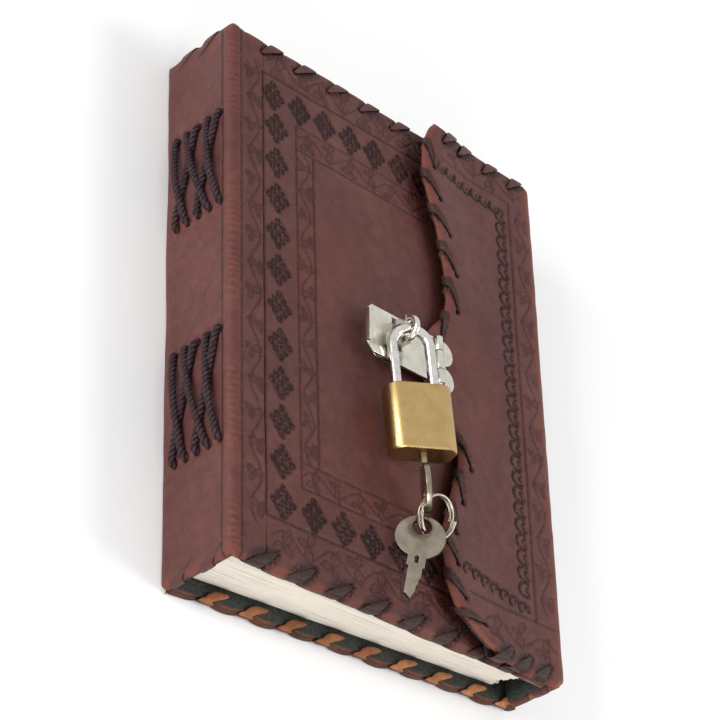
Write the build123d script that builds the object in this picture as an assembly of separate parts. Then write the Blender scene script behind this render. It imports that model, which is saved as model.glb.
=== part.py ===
from build123d import *
import math
import os

# Hand-bound leather diary that wraps shut with a scalloped flap, closed by a hasp and a small padlock.
# Millimetres. It lies on its back cover: +Z is out of the front cover, +X from spine to fore edge,
# +Y from tail to head. The origin is the middle of the back cover's outer face.
# The sewn back is thicker than the fore edge, so the front cover and all that is on it slope down to
# the fore edge: these are drawn level at the back's thickness, then turned about the back's front fold.

# Book block and leather
book_width = 130.0
book_height = 176.0
book_thick = 30.0
fore_thick = 21.5
hide = 2.4
cloth = 0.6
fold_round = 1.5
fit = 0.05
soft_gap = 0.3
hinge_gap = 0.5
cover_short_of_strip = 1.5
leaf_count = 5
page_inset_tail = 2.7
page_inset_fore = 5.0
deckle_step = 0.7
page_back_round = 0.42

# Flap and its scalloped free edge, as reach from the fore edge at distances from the middle
flap_reach_tongue = 55.0
flap_reach_waist = 43.5
flap_reach_lobe = 52.5
flap_reach_corner = 44.0
tongue_half = 6.0
waist_from_middle = 26.0
lobe_from_middle = 66.0

# Whip-stitched lace
lace_width = 3.2
lace_thick = 0.8
lace_reach = 5.5
seat_over = 0.5
lace_gap = 0.1
front_lace_pitch = 13.5
back_lace_pitch = 15.0
flap_lace_pitch = 9.5
scallop_lace_pitch = 12.0
lace_end_margin = 7.0
fold_lace_margin = 5.0

# Spine sewing: two stations of crossing strands
hole_pitch = 4.9
hole_radius = 1.1
cord_radius = 0.95
strand_bend = 1.3
upper_station = (25.5, 57.0)
lower_station = (-52.0, -17.0)

# Hasp
hasp_y = 0.2
leaf_length = 32.0
leaf_width = 16.0
leaf_thick = 0.8
leaf_before_tongue = 26.2
leaf_over_base = 0.15
lip_rise = 1.4
lip_chamfer = 2.5
knuckle_radius = 1.35
pin_radius = 0.75
knuckle_long = 4.6
base_thick = 0.8
base_lobe_radius = 4.2
base_lobe_spread = 4.6
base_lobe_out = 3.4
base_inset = 0.5
base_corner = 1.5
pin_proud = 0.4
rivet_radius = 1.0
rivet_head_radius = 1.7
rivet_head_rise = 0.5
rivet_dome = 0.6
slot_clear = 0.9

# Staple that stands through the leaf's slot
staple_before_tongue = 13.3
staple_wire_radius = 1.0
staple_hole_radius = 2.4
staple_plate_length = 17.0
staple_plate_width = 15.0
staple_plate_corner = 6.0
staple_plate_thick = 0.8
staple_rivet_spread = 5.6

# Padlock, measured along its own axes: width, height and thickness
lock_before_tongue = 13.0
lock_y = 2.0
lock_high = 9.7
lock_yaw = 4.8
lock_tilt = 27.0
body_width = 20.0
body_height = 21.0
body_thick = 10.0
body_corner = 4.0
body_edge = 0.45
shackle_radius = 1.6
shackle_half_span = 5.75
shackle_rise = 19.9
heel_depth = 16.0
toe_depth = 7.6
shackle_travel = 8.1
running = 0.06

# Latch, plug and wafers
latch_height = 2.2
latch_thick = 3.6
latch_travel = 1.6
latch_bite = 0.6
latch_below_top = 2.6
latch_tail = -1.6
spring_room = 2.2
spring_fill = 0.4
plug_radius = 3.1
plug_length = 11.5
cam_radius = 0.5
cam_slot_clear = 0.45
stop_pin_radius = 0.6
pin_cover = 1.0
wafer_thick = 0.7
wafer_pitch = 2.3
wafer_first = 2.6
wafer_width = 3.2
wafer_clear = 0.08

# Keys and split ring
key_turned = 15.0
blade_width = 4.0
blade_thick = 1.5
blade_length = 11.0
bitting = (0.0, 0.5, 1.0)
bow_radius = 7.2
bow_thick = 1.5
neck_length = 4.2
neck_width = 5.2
neck_corner = 0.8
neck_into_bow = 1.2
slit_width = 1.2
slit_corner = 0.5
key_hole_radius = 2.85
key_hole_out = 3.8
spare_before_tongue = 7.5
spare_below_key = 7.69
spare_high = 6.3
spare_heading = (-0.235, -0.97, -0.02)
spare_normal = (-0.65, 0.1, 0.75)
ring_radius = 6.3
ring_wire = 0.45
ring_pitch = 1.3

# Values worked out from the sizes above
half_w = book_width / 2
half_h = book_height / 2
wall = hide + cloth
slope = math.degrees(math.asin((book_thick - fore_thick) / book_width))
fall = math.tan(math.radians(slope))
level_fold = Pos(-half_w, 0, book_thick)
lid = level_fold * Rot(0, slope, 0) * level_fold.inverse()
flap_low = book_thick + soft_gap
flap_top = flap_low + wall
inner_spine = -half_w + hide
inner_fore = half_w - hide
cover_fore = inner_fore - cloth - cover_short_of_strip
tongue_x = half_w - flap_reach_tongue
leaf_left = tongue_x - leaf_before_tongue
staple_x = tongue_x - staple_before_tongue
lock_x = tongue_x - lock_before_tongue
hasp_pin_x = leaf_left + leaf_length - knuckle_radius
leaf_low = flap_top + base_thick + leaf_over_base
leaf_top = leaf_low + leaf_thick
pin_z = leaf_low + knuckle_radius
flap_fold = (lid * Pos(half_w, 0, flap_top)).position
os.makedirs("parts", exist_ok=True)


def save(name, shape):
    """Write one node, as a group when it holds several solids."""
    shape.label = name
    export_step(shape, f"parts/{name}.step")


def group(solids, place=Pos(0, 0, 0)):
    """Separate solids of one node, each put in its place."""
    return Compound(children=[place * solid for solid in solids])


def block(x0, x1, y0, y1, z0, z1):
    """A box between two corners."""
    low = Vector(x0, y0, z0)
    return Pos(low) * Box(x1 - x0, y1 - y0, z1 - z0, align=(Align.MIN, Align.MIN, Align.MIN))


def spaced(first, last, pitch):
    """Evenly spaced places near a pitch, from first to last."""
    count = max(1, round((last - first) / pitch))
    return [first + (last - first) * i / count for i in range(count + 1)]


def lace(thick_wall, grow=0.0, over=0.0):
    """One stitch of flat lace round an edge: the edge runs along X, leather lies at -Y and below Z=0."""
    half = lace_width / 2 + grow
    deep = lace_thick + grow
    reach = lace_reach + grow
    corner = (Align.MAX, Align.MAX)
    outside = Pos(over, over) * Rectangle(reach + over, thick_wall + 2 * over, align=corner)
    inside = Pos(-deep, -deep) * Rectangle(reach, thick_wall - 2 * deep, align=corner)
    profile = Plane.YZ * (outside - inside)
    return extrude(profile, amount=half, both=True)


def stitch(panels, places, thick_wall):
    """Cut a seat for each stitch in the panels, and return the panels with the stitches in their seats."""
    seats = [place * lace(thick_wall, lace_gap, seat_over) for place in places]
    stitches = [place * lace(thick_wall) for place in places]
    cut = []
    for panel in panels:
        for seat in seats:
            panel = panel - seat
        cut.append(panel)
    return cut, stitches


def head_and_tail(xs, z):
    """Places for stitches along a panel's head and tail edges, with its outer face up at z."""
    head = [Pos(x, half_h, z) for x in xs]
    tail = [Pos(x, -half_h, z) * Rot(0, 0, 180) for x in xs]
    return head + tail


def rounded_fold(panel, x, z):
    """Round the long edges of a panel that lie on a fold line along Y."""
    edges = [
        e for e in panel.edges().filter_by(Axis.Y)
        if abs(e.center().X - x) < fit and abs(e.center().Z - z) < fit
    ]
    return fillet(edges, fold_round)


# Back cover: the leather panel that the diary rests on, with its cloth lining and lace
back = block(-half_w, half_w, -half_h, half_h, 0, hide)
back = rounded_fold(back, -half_w, 0)
back = rounded_fold(back, half_w, 0)
back_cloth = block(inner_spine, inner_fore, -half_h, half_h, hide, wall)
back_xs = spaced(-half_w + lace_end_margin, half_w - lace_end_margin, back_lace_pitch)
back_places = [place * Rot(0, 180, 0) for place in head_and_tail(back_xs, 0)]
(back, back_cloth), back_lace = stitch([back, back_cloth], back_places, wall)
save("back_cover", back)
save("back_lining", back_cloth)
save("back_lacing", group(back_lace))

# Spine panel: stands on the back cover, with sewing holes and a stitch at its head and tail
spine = block(-half_w, inner_spine, -half_h, half_h, hide, book_thick)
spine = rounded_fold(spine, -half_w, book_thick)
spine_cloth = block(inner_spine, inner_spine + cloth, -half_h, half_h, wall, book_thick - wall - soft_gap)
hole_zs = [book_thick / 2 + (i - (leaf_count - 1) / 2) * hole_pitch for i in range(leaf_count)]
for z in hole_zs:
    for y in upper_station + lower_station:
        hole = Pos(inner_spine, y, z) * Rot(0, 90, 0) * Cylinder(hole_radius, 4 * wall)
        spine = spine - hole
        spine_cloth = spine_cloth - hole
spine_zs = spaced(hide + fold_lace_margin, book_thick - wall - fold_lace_margin, back_lace_pitch)
spine_places = [Pos(-half_w, half_h, z) * Rot(0, -90, 0) for z in spine_zs]
spine_places += [Pos(-half_w, -half_h, z) * Rot(0, -90, 0) * Rot(0, 0, 180) for z in spine_zs]
(spine, spine_cloth), spine_lace = stitch([spine, spine_cloth], spine_places, wall)
save("spine_panel", spine)
save("spine_lining", spine_cloth)
save("spine_lacing", group(spine_lace))

# Front cover: hinged at the spine's outer top fold, laced along head and tail
front = block(inner_spine + soft_gap, cover_fore, -half_h, half_h, book_thick - hide, book_thick)
front_cloth = block(
    inner_spine + cloth + hinge_gap, cover_fore, -half_h, half_h, book_thick - wall, book_thick - hide
)
front_xs = spaced(-half_w + lace_end_margin, cover_fore - lace_end_margin, front_lace_pitch)
front_places = head_and_tail(front_xs, book_thick)
(front, front_cloth), front_lace = stitch([front, front_cloth], front_places, wall)

# Fore-edge strip: stands on the back cover's fore edge and carries the flap
strip = block(inner_fore, half_w, -half_h, half_h, hide, flap_fold.Z)
strip = rounded_fold(strip, half_w, flap_fold.Z)
strip_cloth = block(inner_fore - cloth, inner_fore, -half_h, half_h, wall, flap_fold.Z - wall - soft_gap)
strip_zs = spaced(hide + fold_lace_margin, flap_fold.Z - wall - fold_lace_margin, flap_lace_pitch)
strip_places = [Pos(half_w, half_h, z) * Rot(0, 90, 0) for z in strip_zs]
strip_places += [Pos(half_w, -half_h, z) * Rot(0, 90, 0) * Rot(0, 0, 180) for z in strip_zs]
(strip, strip_cloth), strip_lace = stitch([strip, strip_cloth], strip_places, wall)
save("fore_edge_strip", strip)
save("strip_lining", strip_cloth)
save("strip_lacing", group(strip_lace))

# Flap: one scalloped sheet, a tongue in the middle under the hasp and a lobe towards each end
fold_x = inner_fore - fit - soft_gap


def ogee(start, end):
    """Two equal arcs that swing from one point to another and lie along Y at both ends."""
    middle = (start + end) * 0.5
    first = TangentArc(start, middle, tangent=Vector(0, end.Y - start.Y))
    return [first, TangentArc(middle, end, tangent=first % 1)]


def half_edge(side):
    """The flap's free edge from the tongue to the head, or to the tail for a side of -1."""
    tongue_end = Vector(half_w - flap_reach_tongue, hasp_y + side * tongue_half)
    waist = Vector(half_w - flap_reach_waist, hasp_y + side * waist_from_middle)
    lobe = Vector(half_w - flap_reach_lobe, side * lobe_from_middle)
    corner = Vector(half_w - flap_reach_corner, side * half_h)
    return ogee(tongue_end, waist) + ogee(waist, lobe) + [TangentArc(lobe, corner, tangent=Vector(0, side))]


head_edge = half_edge(1)
tail_edge = half_edge(-1)
outline = head_edge + tail_edge + [
    Line(head_edge[0] @ 0, tail_edge[0] @ 0),
    Line(head_edge[-1] @ 1, (fold_x, half_h)),
    Line((fold_x, half_h), (fold_x, -half_h)),
    Line((fold_x, -half_h), tail_edge[-1] @ 1),
]
flap_face = make_face(Wire.combine(outline)[0])
flap = Pos(0, 0, flap_low + cloth) * extrude(flap_face, amount=hide)
flap_cloth = Pos(0, 0, flap_low) * extrude(flap_face, amount=cloth)
flap_xs = spaced(half_w - flap_reach_corner + lace_end_margin, half_w - lace_end_margin, flap_lace_pitch)
flap_places = head_and_tail(flap_xs, flap_top)
for side, arcs in ((1, head_edge), (-1, tail_edge)):
    edge = Wire.combine(arcs)[0]
    for along in spaced(lace_end_margin, edge.length - lace_end_margin, scallop_lace_pitch):
        at = edge.position_at(along, position_mode=PositionMode.LENGTH)
        run = edge.tangent_at(along, position_mode=PositionMode.LENGTH) * side
        turn = math.degrees(math.atan2(run.Y, run.X))
        flap_places.append(Pos(at.X, at.Y, flap_top) * Rot(0, 0, turn))
(flap, flap_cloth), flap_lace = stitch([flap, flap_cloth], flap_places, wall)

# Gatherings: folded leaves with a rounded back, which thin towards an uneven fore edge
block_low = wall + soft_gap
page_spine = inner_spine + cloth + soft_gap


def leaf_height(i, x):
    """The height of the face between two gatherings, counted from the back cover, at a place along X."""
    high = book_thick - wall - 2 * soft_gap - (x + half_w) * fall
    return block_low + (high - block_low) * i / leaf_count


for i in range(leaf_count):
    fore = half_w - hide - cloth - page_inset_fore - deckle_step * ((2 * i) % 3)
    corners = [
        (page_spine, leaf_height(i, page_spine)), (fore, leaf_height(i, fore)),
        (fore, leaf_height(i + 1, fore) - fit), (page_spine, leaf_height(i + 1, page_spine) - fit),
    ]
    section = Plane.XZ * make_face(Polyline(*corners, close=True))
    pages = extrude(section, amount=half_h - page_inset_tail, both=True)
    folds = [e for e in pages.edges().filter_by(Axis.Y) if abs(e.center().X - page_spine) < fit]
    back_round = (leaf_height(i + 1, page_spine) - leaf_height(i, page_spine)) * page_back_round
    save(f"gathering_{i + 1}", fillet(folds, back_round))


# Sewing: each strand leaves one hole, crosses the spine and enters another
def strand(start, end, out):
    """A cord from one hole to another, lying at a height out of the spine's face."""
    inside = inner_spine + cloth + fit
    face = -half_w - strand_bend - out
    points = [
        (inside, start[0], start[1]),
        (face, start[0], start[1]),
        (face, end[0], end[1]),
        (inside, end[0], end[1]),
    ]
    path = FilletPolyline(*points, radius=strand_bend)
    return sweep(Plane(path @ 0, z_dir=path % 0) * Circle(cord_radius), path=path)


# The hole at the tail end of a station that the strand from each hole at its head end goes to
crossing = (1, 3, 0, 4, 2)
for name, station in (("lower_sewing", lower_station), ("upper_sewing", upper_station)):
    strands = []
    for top, bottom in enumerate(crossing):
        rises = 2 * cord_radius + soft_gap if bottom > top else 0
        strands.append(strand((station[1], hole_zs[top]), (station[0], hole_zs[bottom]), rises))
    save(name, group(strands))


# Rivets: a shank through the leather with a low domed head
def rivet(x, y, face, grip):
    """A rivet whose head sits on a face at this height and whose shank goes down by grip."""
    shank = Pos(x, y, face - grip) * Cylinder(
        rivet_radius, grip, align=(Align.CENTER, Align.CENTER, Align.MIN)
    )
    head = Pos(x, y, face) * Cylinder(
        rivet_head_radius, rivet_head_rise, align=(Align.CENTER, Align.CENTER, Align.MIN)
    )
    return chamfer(head.edges().group_by(Axis.Z)[-1], rivet_head_rise * rivet_dome) + shank


def rivet_hole(x, y):
    """The clearance for a rivet's shank, right through a leaf or panel."""
    return Pos(x, y, book_thick) * Cylinder(rivet_radius + fit, 8 * wall)


# Staple: an upright wire loop on a round-ended plate, riveted to the front cover
staple_spots = [(staple_x + s * staple_rivet_spread, lock_y) for s in (-1, 1)]
staple_z = book_thick + staple_plate_thick
eye_z = book_thick + lock_high
eye_y = lock_y
plate_outline = RectangleRounded(staple_plate_length, staple_plate_width, staple_plate_corner)
plate = Pos(staple_x, eye_y, book_thick) * extrude(plate_outline, amount=staple_plate_thick)
loop_radius = staple_hole_radius + staple_wire_radius
loop = Pos(staple_x, eye_y, eye_z) * Rot(0, 90, 0) * Torus(loop_radius, staple_wire_radius)
legs = [
    block(
        staple_x - staple_wire_radius, staple_x + staple_wire_radius,
        eye_y + s * loop_radius - staple_wire_radius, eye_y + s * loop_radius + staple_wire_radius,
        staple_z, eye_z,
    )
    for s in (-1, 1)
]
low_half = block(
    staple_x - 2 * staple_wire_radius, staple_x + 2 * staple_wire_radius,
    eye_y - 2 * loop_radius, eye_y + 2 * loop_radius, book_thick, eye_z,
)
staple = (loop - low_half) + legs
staple_holes = [rivet_hole(x, y) for x, y in staple_spots]
for hole in staple_holes:
    plate = plate - hole
    front = front - hole
    front_cloth = front_cloth - hole
staple_rivets = [rivet(x, y, staple_z, staple_plate_thick + wall) for x, y in staple_spots]
save("staple_plate", lid * plate)
save("staple", lid * staple)
save("staple_rivets", group(staple_rivets, lid))
save("front_cover", lid * front)
save("front_lining", lid * front_cloth)
save("front_lacing", group(front_lace, lid))

# Hasp base: a trefoil plate riveted to the flap's tongue, with two lugs that hold the pin
lobes = [
    (hasp_pin_x + base_lobe_out, hasp_y + base_lobe_spread),
    (hasp_pin_x + base_lobe_out, hasp_y - base_lobe_spread),
]
base = RectangleRounded(2 * base_lobe_radius, leaf_width - 2 * base_inset, base_corner)
base = Pos(hasp_pin_x, hasp_y) * base
for x, y in lobes:
    base = base + Pos(x, y) * Circle(base_lobe_radius)
base = Pos(0, 0, flap_top) * extrude(base, amount=base_thick)
lug_far = leaf_width / 2
lug_near = lug_far - knuckle_long
for s in (-1, 1):
    ys = sorted((hasp_y + s * lug_near, hasp_y + s * lug_far))
    lug = block(
        hasp_pin_x - knuckle_radius, hasp_pin_x + knuckle_radius, ys[0], ys[1], flap_top, pin_z
    )
    barrel = Pos(hasp_pin_x, (ys[0] + ys[1]) / 2, pin_z) * Rot(90, 0, 0) * Cylinder(
        knuckle_radius, knuckle_long
    )
    base = base + lug + barrel
pin_bore = Pos(hasp_pin_x, hasp_y, pin_z) * Rot(90, 0, 0) * Cylinder(pin_radius + running / 2, leaf_width)
base = base - pin_bore
for x, y in lobes:
    base = base - rivet_hole(x, y)
    flap = flap - rivet_hole(x, y)
    flap_cloth = flap_cloth - rivet_hole(x, y)
hasp_rivets = [rivet(x, y, flap_top + base_thick, base_thick + wall) for x, y in lobes]
save("hasp_base", lid * base)
save("hasp_rivets", group(hasp_rivets, lid))
pin = Pos(hasp_pin_x, hasp_y, pin_z) * Rot(90, 0, 0) * Cylinder(pin_radius, leaf_width + 2 * pin_proud)
save("hasp_pin", lid * pin)
save("flap", lid * flap)
save("flap_lining", lid * flap_cloth)
save("flap_lacing", group(flap_lace, lid))

# Hasp leaf: a flat plate with a slot for the staple, a turned-up finger lip and one barrel on the pin
leaf_right = hasp_pin_x
leaf = block(
    leaf_left, leaf_right, hasp_y - leaf_width / 2, hasp_y + leaf_width / 2, leaf_low, leaf_top
)
corners = [e for e in leaf.edges().filter_by(Axis.Z) if abs(e.center().X - leaf_left) < fit]
leaf = chamfer(corners, lip_chamfer)
lip = block(
    leaf_left, leaf_left + leaf_thick, hasp_y - leaf_width / 2 + lip_chamfer,
    hasp_y + leaf_width / 2 - lip_chamfer, leaf_low, leaf_top + lip_rise,
)
slot_x = staple_wire_radius + slot_clear
slot_low = eye_y - loop_radius - staple_wire_radius - slot_clear
slot_high = eye_y + loop_radius + staple_wire_radius + slot_clear
slot = block(staple_x - slot_x, staple_x + slot_x, slot_low, slot_high, leaf_low - 1, leaf_top + 1)
lug_gap = block(
    hasp_pin_x - knuckle_radius - soft_gap, leaf_right + 1, hasp_y - leaf_width, hasp_y + leaf_width,
    leaf_low - 1, leaf_top + 1,
)
tongue = block(
    hasp_pin_x - knuckle_radius - 2 * soft_gap, leaf_right, hasp_y - lug_near + soft_gap,
    hasp_y + lug_near - soft_gap, leaf_low, leaf_top,
)
barrel = Pos(hasp_pin_x, hasp_y, pin_z) * Rot(90, 0, 0) * Cylinder(
    knuckle_radius, 2 * (lug_near - soft_gap)
)
leaf = leaf - lug_gap + lip + tongue + barrel - slot - pin_bore
save("hasp_leaf", lid * leaf)

# The padlock is built about its bow's crown, with the body towards -Y, then laid on the cover
lock_place = Pos(lock_x, lock_y, book_thick + lock_high) * Rot(0, 0, lock_yaw)
lock_place = lock_place * Rot(0, -lock_tilt, 0)
body_top = -shackle_rise
body_low = body_top - body_height
toe_x = shackle_half_span
heel_x = -shackle_half_span


def along_y(x, y0, y1, radius, z=0.0):
    """A round bar along the padlock's height, from y0 up to y1."""
    return Pos(x, (y0 + y1) / 2, z) * Rot(90, 0, 0) * Cylinder(radius, y1 - y0)


# Shackle: a bent rod with a long heel and a short toe, notched for the latch and the stop pin
bow = Pos(0, -shackle_half_span, 0) * Torus(shackle_half_span, shackle_radius)
span = 2 * (shackle_half_span + shackle_radius)
bow = bow - block(-span, span, -3 * span, -shackle_half_span, -span, span)
heel_end = body_top - heel_depth
toe_end = body_top - toe_depth
shackle = bow + along_y(heel_x, heel_end, -shackle_half_span, shackle_radius)
shackle = shackle + along_y(toe_x, toe_end, -shackle_half_span, shackle_radius)
latch_y = body_top - latch_below_top
notch_top = latch_y + latch_height / 2 + running
notch_deep = toe_x - shackle_radius + latch_bite + 2 * running
ramp_low = notch_top - latch_height - 4 * running
ramp_end = ramp_low - shackle_travel * (latch_bite + 2 * running) / latch_travel
notch = make_face(Polyline(
    (notch_deep, notch_top), (notch_deep, ramp_low),
    (toe_x - shackle_radius, ramp_end), (toe_x - 2 * shackle_radius, ramp_end),
    (toe_x - 2 * shackle_radius, notch_top), close=True,
))
shackle = shackle - extrude(notch, amount=span, both=True)
stop_y = heel_end + shackle_travel + 3 * stop_pin_radius
stop_x = heel_x - shackle_radius
flat_low = stop_y - shackle_travel - stop_pin_radius - running
heel_flat = block(
    stop_x - 1, stop_x + stop_pin_radius + running, flat_low, stop_y + stop_pin_radius + running,
    -span, span,
)
shackle = shackle - heel_flat
save("shackle", lid * lock_place * shackle)

# Latch: a sliding bolt with a nose for the toe's notch and a slot that the plug's cam pin drives
latch_nose = toe_x - shackle_radius + latch_bite
latch = block(
    latch_tail, latch_nose, latch_y - latch_height / 2, latch_y + latch_height / 2,
    -latch_thick / 2, latch_thick / 2,
)
plug_top = body_low + plug_length
cam_slot_half = cam_radius + cam_slot_clear
cam_slot = block(
    latch_travel - cam_slot_half, latch_travel + cam_slot_half,
    latch_y - latch_height, latch_y + latch_height, -cam_slot_half, latch_thick,
)
latch = latch - cam_slot
latch_room = block(
    latch_tail - spring_room, toe_x, latch_y - latch_height / 2 - running,
    latch_y + latch_height / 2 + running, -latch_thick / 2 - running, latch_thick / 2 + running,
)
latch_spring = Pos(latch_tail - spring_room / 2, latch_y, 0) * Rot(0, 90, 0) * Cylinder(
    latch_height * spring_fill, spring_room - 2 * fit
)
save("latch", lid * lock_place * latch)
save("latch_spring", lid * lock_place * latch_spring)

# Plug: turns in the body's lower bore, with a keyway, wafer slots and an eccentric cam pin
keyway_place = Rot(0, -key_turned, 0)
cam_end = latch_y + latch_height / 2 - running
stem_radius = latch_travel + cam_radius
stem_top = latch_y - latch_height / 2 - 3 * running
plug = along_y(0, body_low, plug_top, plug_radius)
stem = along_y(0, plug_top, stem_top, stem_radius)
cam_pin = along_y(latch_travel, stem_top, cam_end, cam_radius)
groove_y = plug_top - 3 * stop_pin_radius
groove_half = stop_pin_radius + running
groove = along_y(0, groove_y - groove_half, groove_y + groove_half, plug_radius + 1)
groove = groove - along_y(0, body_low, plug_top, plug_radius - stop_pin_radius)
keyway = keyway_place * block(
    -blade_thick / 2 - running, blade_thick / 2 + running, body_low - 1, body_low + blade_length + running,
    -blade_width / 2 - running, blade_width / 2 + running,
)
plug = plug - groove - keyway + stem + cam_pin
blade_tip = body_low + blade_length
wafers = []
wafer_half = math.sqrt(plug_radius ** 2 - (wafer_width / 2) ** 2) - wafer_clear
for i, cut in enumerate(bitting):
    y = body_low + wafer_first + i * wafer_pitch
    slot = block(
        -wafer_width / 2 - wafer_clear, wafer_width / 2 + wafer_clear, y - wafer_clear,
        y + wafer_thick + wafer_clear, -plug_radius, plug_radius,
    )
    plug = plug - keyway_place * slot
    plate = block(-wafer_width / 2, wafer_width / 2, y, y + wafer_thick, -wafer_half, wafer_half)
    window = block(
        -blade_thick / 2 - wafer_clear, blade_thick / 2 + wafer_clear, y - 1, y + wafer_thick + 1,
        -blade_width / 2 - wafer_clear, blade_width / 2 - cut + wafer_clear,
    )
    wafers.append(keyway_place * (plate - window))
save("plug", lid * lock_place * plug)
save("wafers", group(wafers, lid * lock_place))

# Body: a solid brass block with a round-ended plan, bored for the legs, the plug, the latch and the pins
plan = Plane.XZ * RectangleRounded(body_width, body_thick, body_corner)
body = Pos(0, body_top, 0) * extrude(plan, amount=body_height)
rims = body.faces().sort_by(Axis.Y)
body = chamfer(rims[0].edges() + rims[-1].edges(), body_edge)
body = body - along_y(heel_x, heel_end - spring_room, body_top + 1, shackle_radius + running)
body = body - along_y(toe_x, toe_end - fit, body_top + 1, shackle_radius + running)
body = body - along_y(0, body_low - 1, plug_top + fit, plug_radius + running)
body = body - along_y(0, plug_top - fit, cam_end + fit, stem_radius + running)
body = body - latch_room
stop_pins = []
for x, y in ((stop_x, stop_y), (-plug_radius, groove_y)):
    body = body - Pos(x, y, 0) * Cylinder(stop_pin_radius, body_thick - 2 * pin_cover)
    stop_pins.append(Pos(x, y, 0) * Cylinder(stop_pin_radius, body_thick - 2 * pin_cover))
spring_radius = 2 * shackle_radius * spring_fill
shackle_spring = along_y(heel_x, heel_end - spring_room + fit, heel_end - fit, spring_radius)
save("padlock_body", lid * lock_place * body)
save("stop_pins", group(stop_pins, lid * lock_place))
save("shackle_spring", lid * lock_place * shackle_spring)


# Keys: a round bow with a hole, a shouldered neck and a stepped blade, built along +Y from the bow
def flat_key():
    """A key whose shoulder is at Y=0, blade towards +Y and bow towards -Y, lying in the YZ plane."""
    edge = [(-blade_width / 2, -neck_length / 4), (-blade_width / 2, blade_length - blade_width / 2)]
    edge += [(0, blade_length - running)]
    steps = list(enumerate(bitting))
    for i, cut in reversed(steps):
        y = wafer_first + i * wafer_pitch + wafer_thick / 2
        edge.append((blade_width / 2 - cut, y + wafer_pitch * 0.3))
        edge.append((blade_width / 2 - cut, y - wafer_pitch * 0.3))
    edge.append((blade_width / 2, -neck_length / 4))
    blade = extrude(make_face(Polyline(*edge, close=True)), amount=blade_thick / 2, both=True)
    neck = Pos(0, -neck_length / 2) * RectangleRounded(neck_width, neck_length + 2 * neck_corner, neck_corner)
    bow_y = -neck_length - bow_radius + neck_into_bow
    bow = Pos(0, bow_y) * Circle(bow_radius)
    slit = Pos(0, -neck_length / 2) * RectangleRounded(slit_width, neck_length - slit_width, slit_corner)
    eye = Pos(0, bow_y - bow_radius + key_hole_out) * Circle(key_hole_radius)
    head = extrude(neck + bow - slit - eye, amount=bow_thick / 2, both=True)
    head = head - block(-bow_radius, bow_radius, -2 * fit, neck_length, -bow_thick, bow_thick)
    return Rot(0, -90, 0) * (head + blade)


hole_y = -neck_length - 2 * bow_radius + neck_into_bow + key_hole_out
key_place = lock_place * keyway_place * Pos(0, body_low, 0)
save("key", lid * key_place * flat_key())

# Split ring: two turns of wire through both bows
first_centre = (key_place * Pos(0, hole_y, 0)).position
spare_y = first_centre.Y - spare_below_key
spare_centre = Vector(tongue_x - spare_before_tongue, spare_y, book_thick + spare_high)
chord = spare_centre - first_centre
middle = (spare_centre + first_centre) * 0.5
chord_way = chord.normalized()
sideways = (Vector(1, 0, 0) - chord_way * chord_way.X).normalized()
ring_centre = middle + sideways * math.sqrt(ring_radius ** 2 - (chord.length / 2) ** 2)
ring_plane = Plane(ring_centre, x_dir=sideways, z_dir=chord_way.cross(sideways))
coil = Helix(pitch=ring_pitch, height=2 * ring_pitch, radius=ring_radius)
wire = Plane(coil @ 0, z_dir=coil % 0) * Circle(ring_wire)
ring = sweep(wire, path=coil, is_frenet=True)
key_ring = ring_plane.location * Pos(0, 0, -ring_pitch) * ring
save("key_ring", lid * key_ring)

# Spare key: hangs on the ring by its bow and lies over the cover
heading = Vector(*spare_heading).normalized()
normal = Vector(*spare_normal)
normal = (normal - heading * normal.dot(heading)).normalized()
spare_plane = Plane(spare_centre, x_dir=normal, z_dir=normal.cross(heading))
spare = spare_plane.location * Pos(0, -hole_y, 0) * flat_key()
save("spare_key", lid * spare)

print("slope", slope, "flap fold", flap_fold, "hasp pin", (lid * Pos(hasp_pin_x, hasp_y, pin_z)).position)
marks = {"bow": lock_place, "key hole": key_place * Pos(0, hole_y, 0), "spare": spare_plane.location}
for label, place in marks.items():
    turned = lid * place
    print(label, tuple(turned.position))
    for way in ((1, 0, 0), (0, 1, 0), (0, 0, 1)):
        print("   ", tuple((turned * Pos(*way)).position - turned.position))
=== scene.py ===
import math

import bpy
import numpy as np
from mathutils import Matrix, Vector


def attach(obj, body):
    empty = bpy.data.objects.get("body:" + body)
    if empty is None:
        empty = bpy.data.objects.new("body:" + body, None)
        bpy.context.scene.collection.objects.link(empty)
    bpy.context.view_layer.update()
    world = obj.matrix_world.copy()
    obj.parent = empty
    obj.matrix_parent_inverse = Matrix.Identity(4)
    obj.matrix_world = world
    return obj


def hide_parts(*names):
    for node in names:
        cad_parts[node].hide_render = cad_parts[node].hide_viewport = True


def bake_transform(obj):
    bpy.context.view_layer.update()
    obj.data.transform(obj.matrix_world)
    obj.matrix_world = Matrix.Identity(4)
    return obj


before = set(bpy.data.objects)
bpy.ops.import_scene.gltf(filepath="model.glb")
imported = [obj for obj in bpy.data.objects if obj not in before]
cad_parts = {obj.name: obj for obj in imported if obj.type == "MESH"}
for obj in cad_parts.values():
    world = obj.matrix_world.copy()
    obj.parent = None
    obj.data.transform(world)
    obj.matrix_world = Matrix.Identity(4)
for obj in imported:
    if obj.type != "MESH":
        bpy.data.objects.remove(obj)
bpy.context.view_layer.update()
bpy.ops.object.select_all(action="DESELECT")

# Spine and front hide: one side of oiled leather, tooled by hand with hot stamps. It stands up the
# sewn back, folds over it and lies on the pages; the front slopes down to the thinner fore edge.
# Lengths are in millimetres until a mesh is made.
MM = 0.001
HALF_W, HALF_H = 65.0, 88.0
THICK, FORE_THICK = 30.0, 21.5
HIDE = 2.4
SLOPE = math.asin((THICK - FORE_THICK) / (2 * HALF_W))
SIN, COS = math.sin(SLOPE), math.cos(SLOPE)
rng = np.random.default_rng(7)


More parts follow.
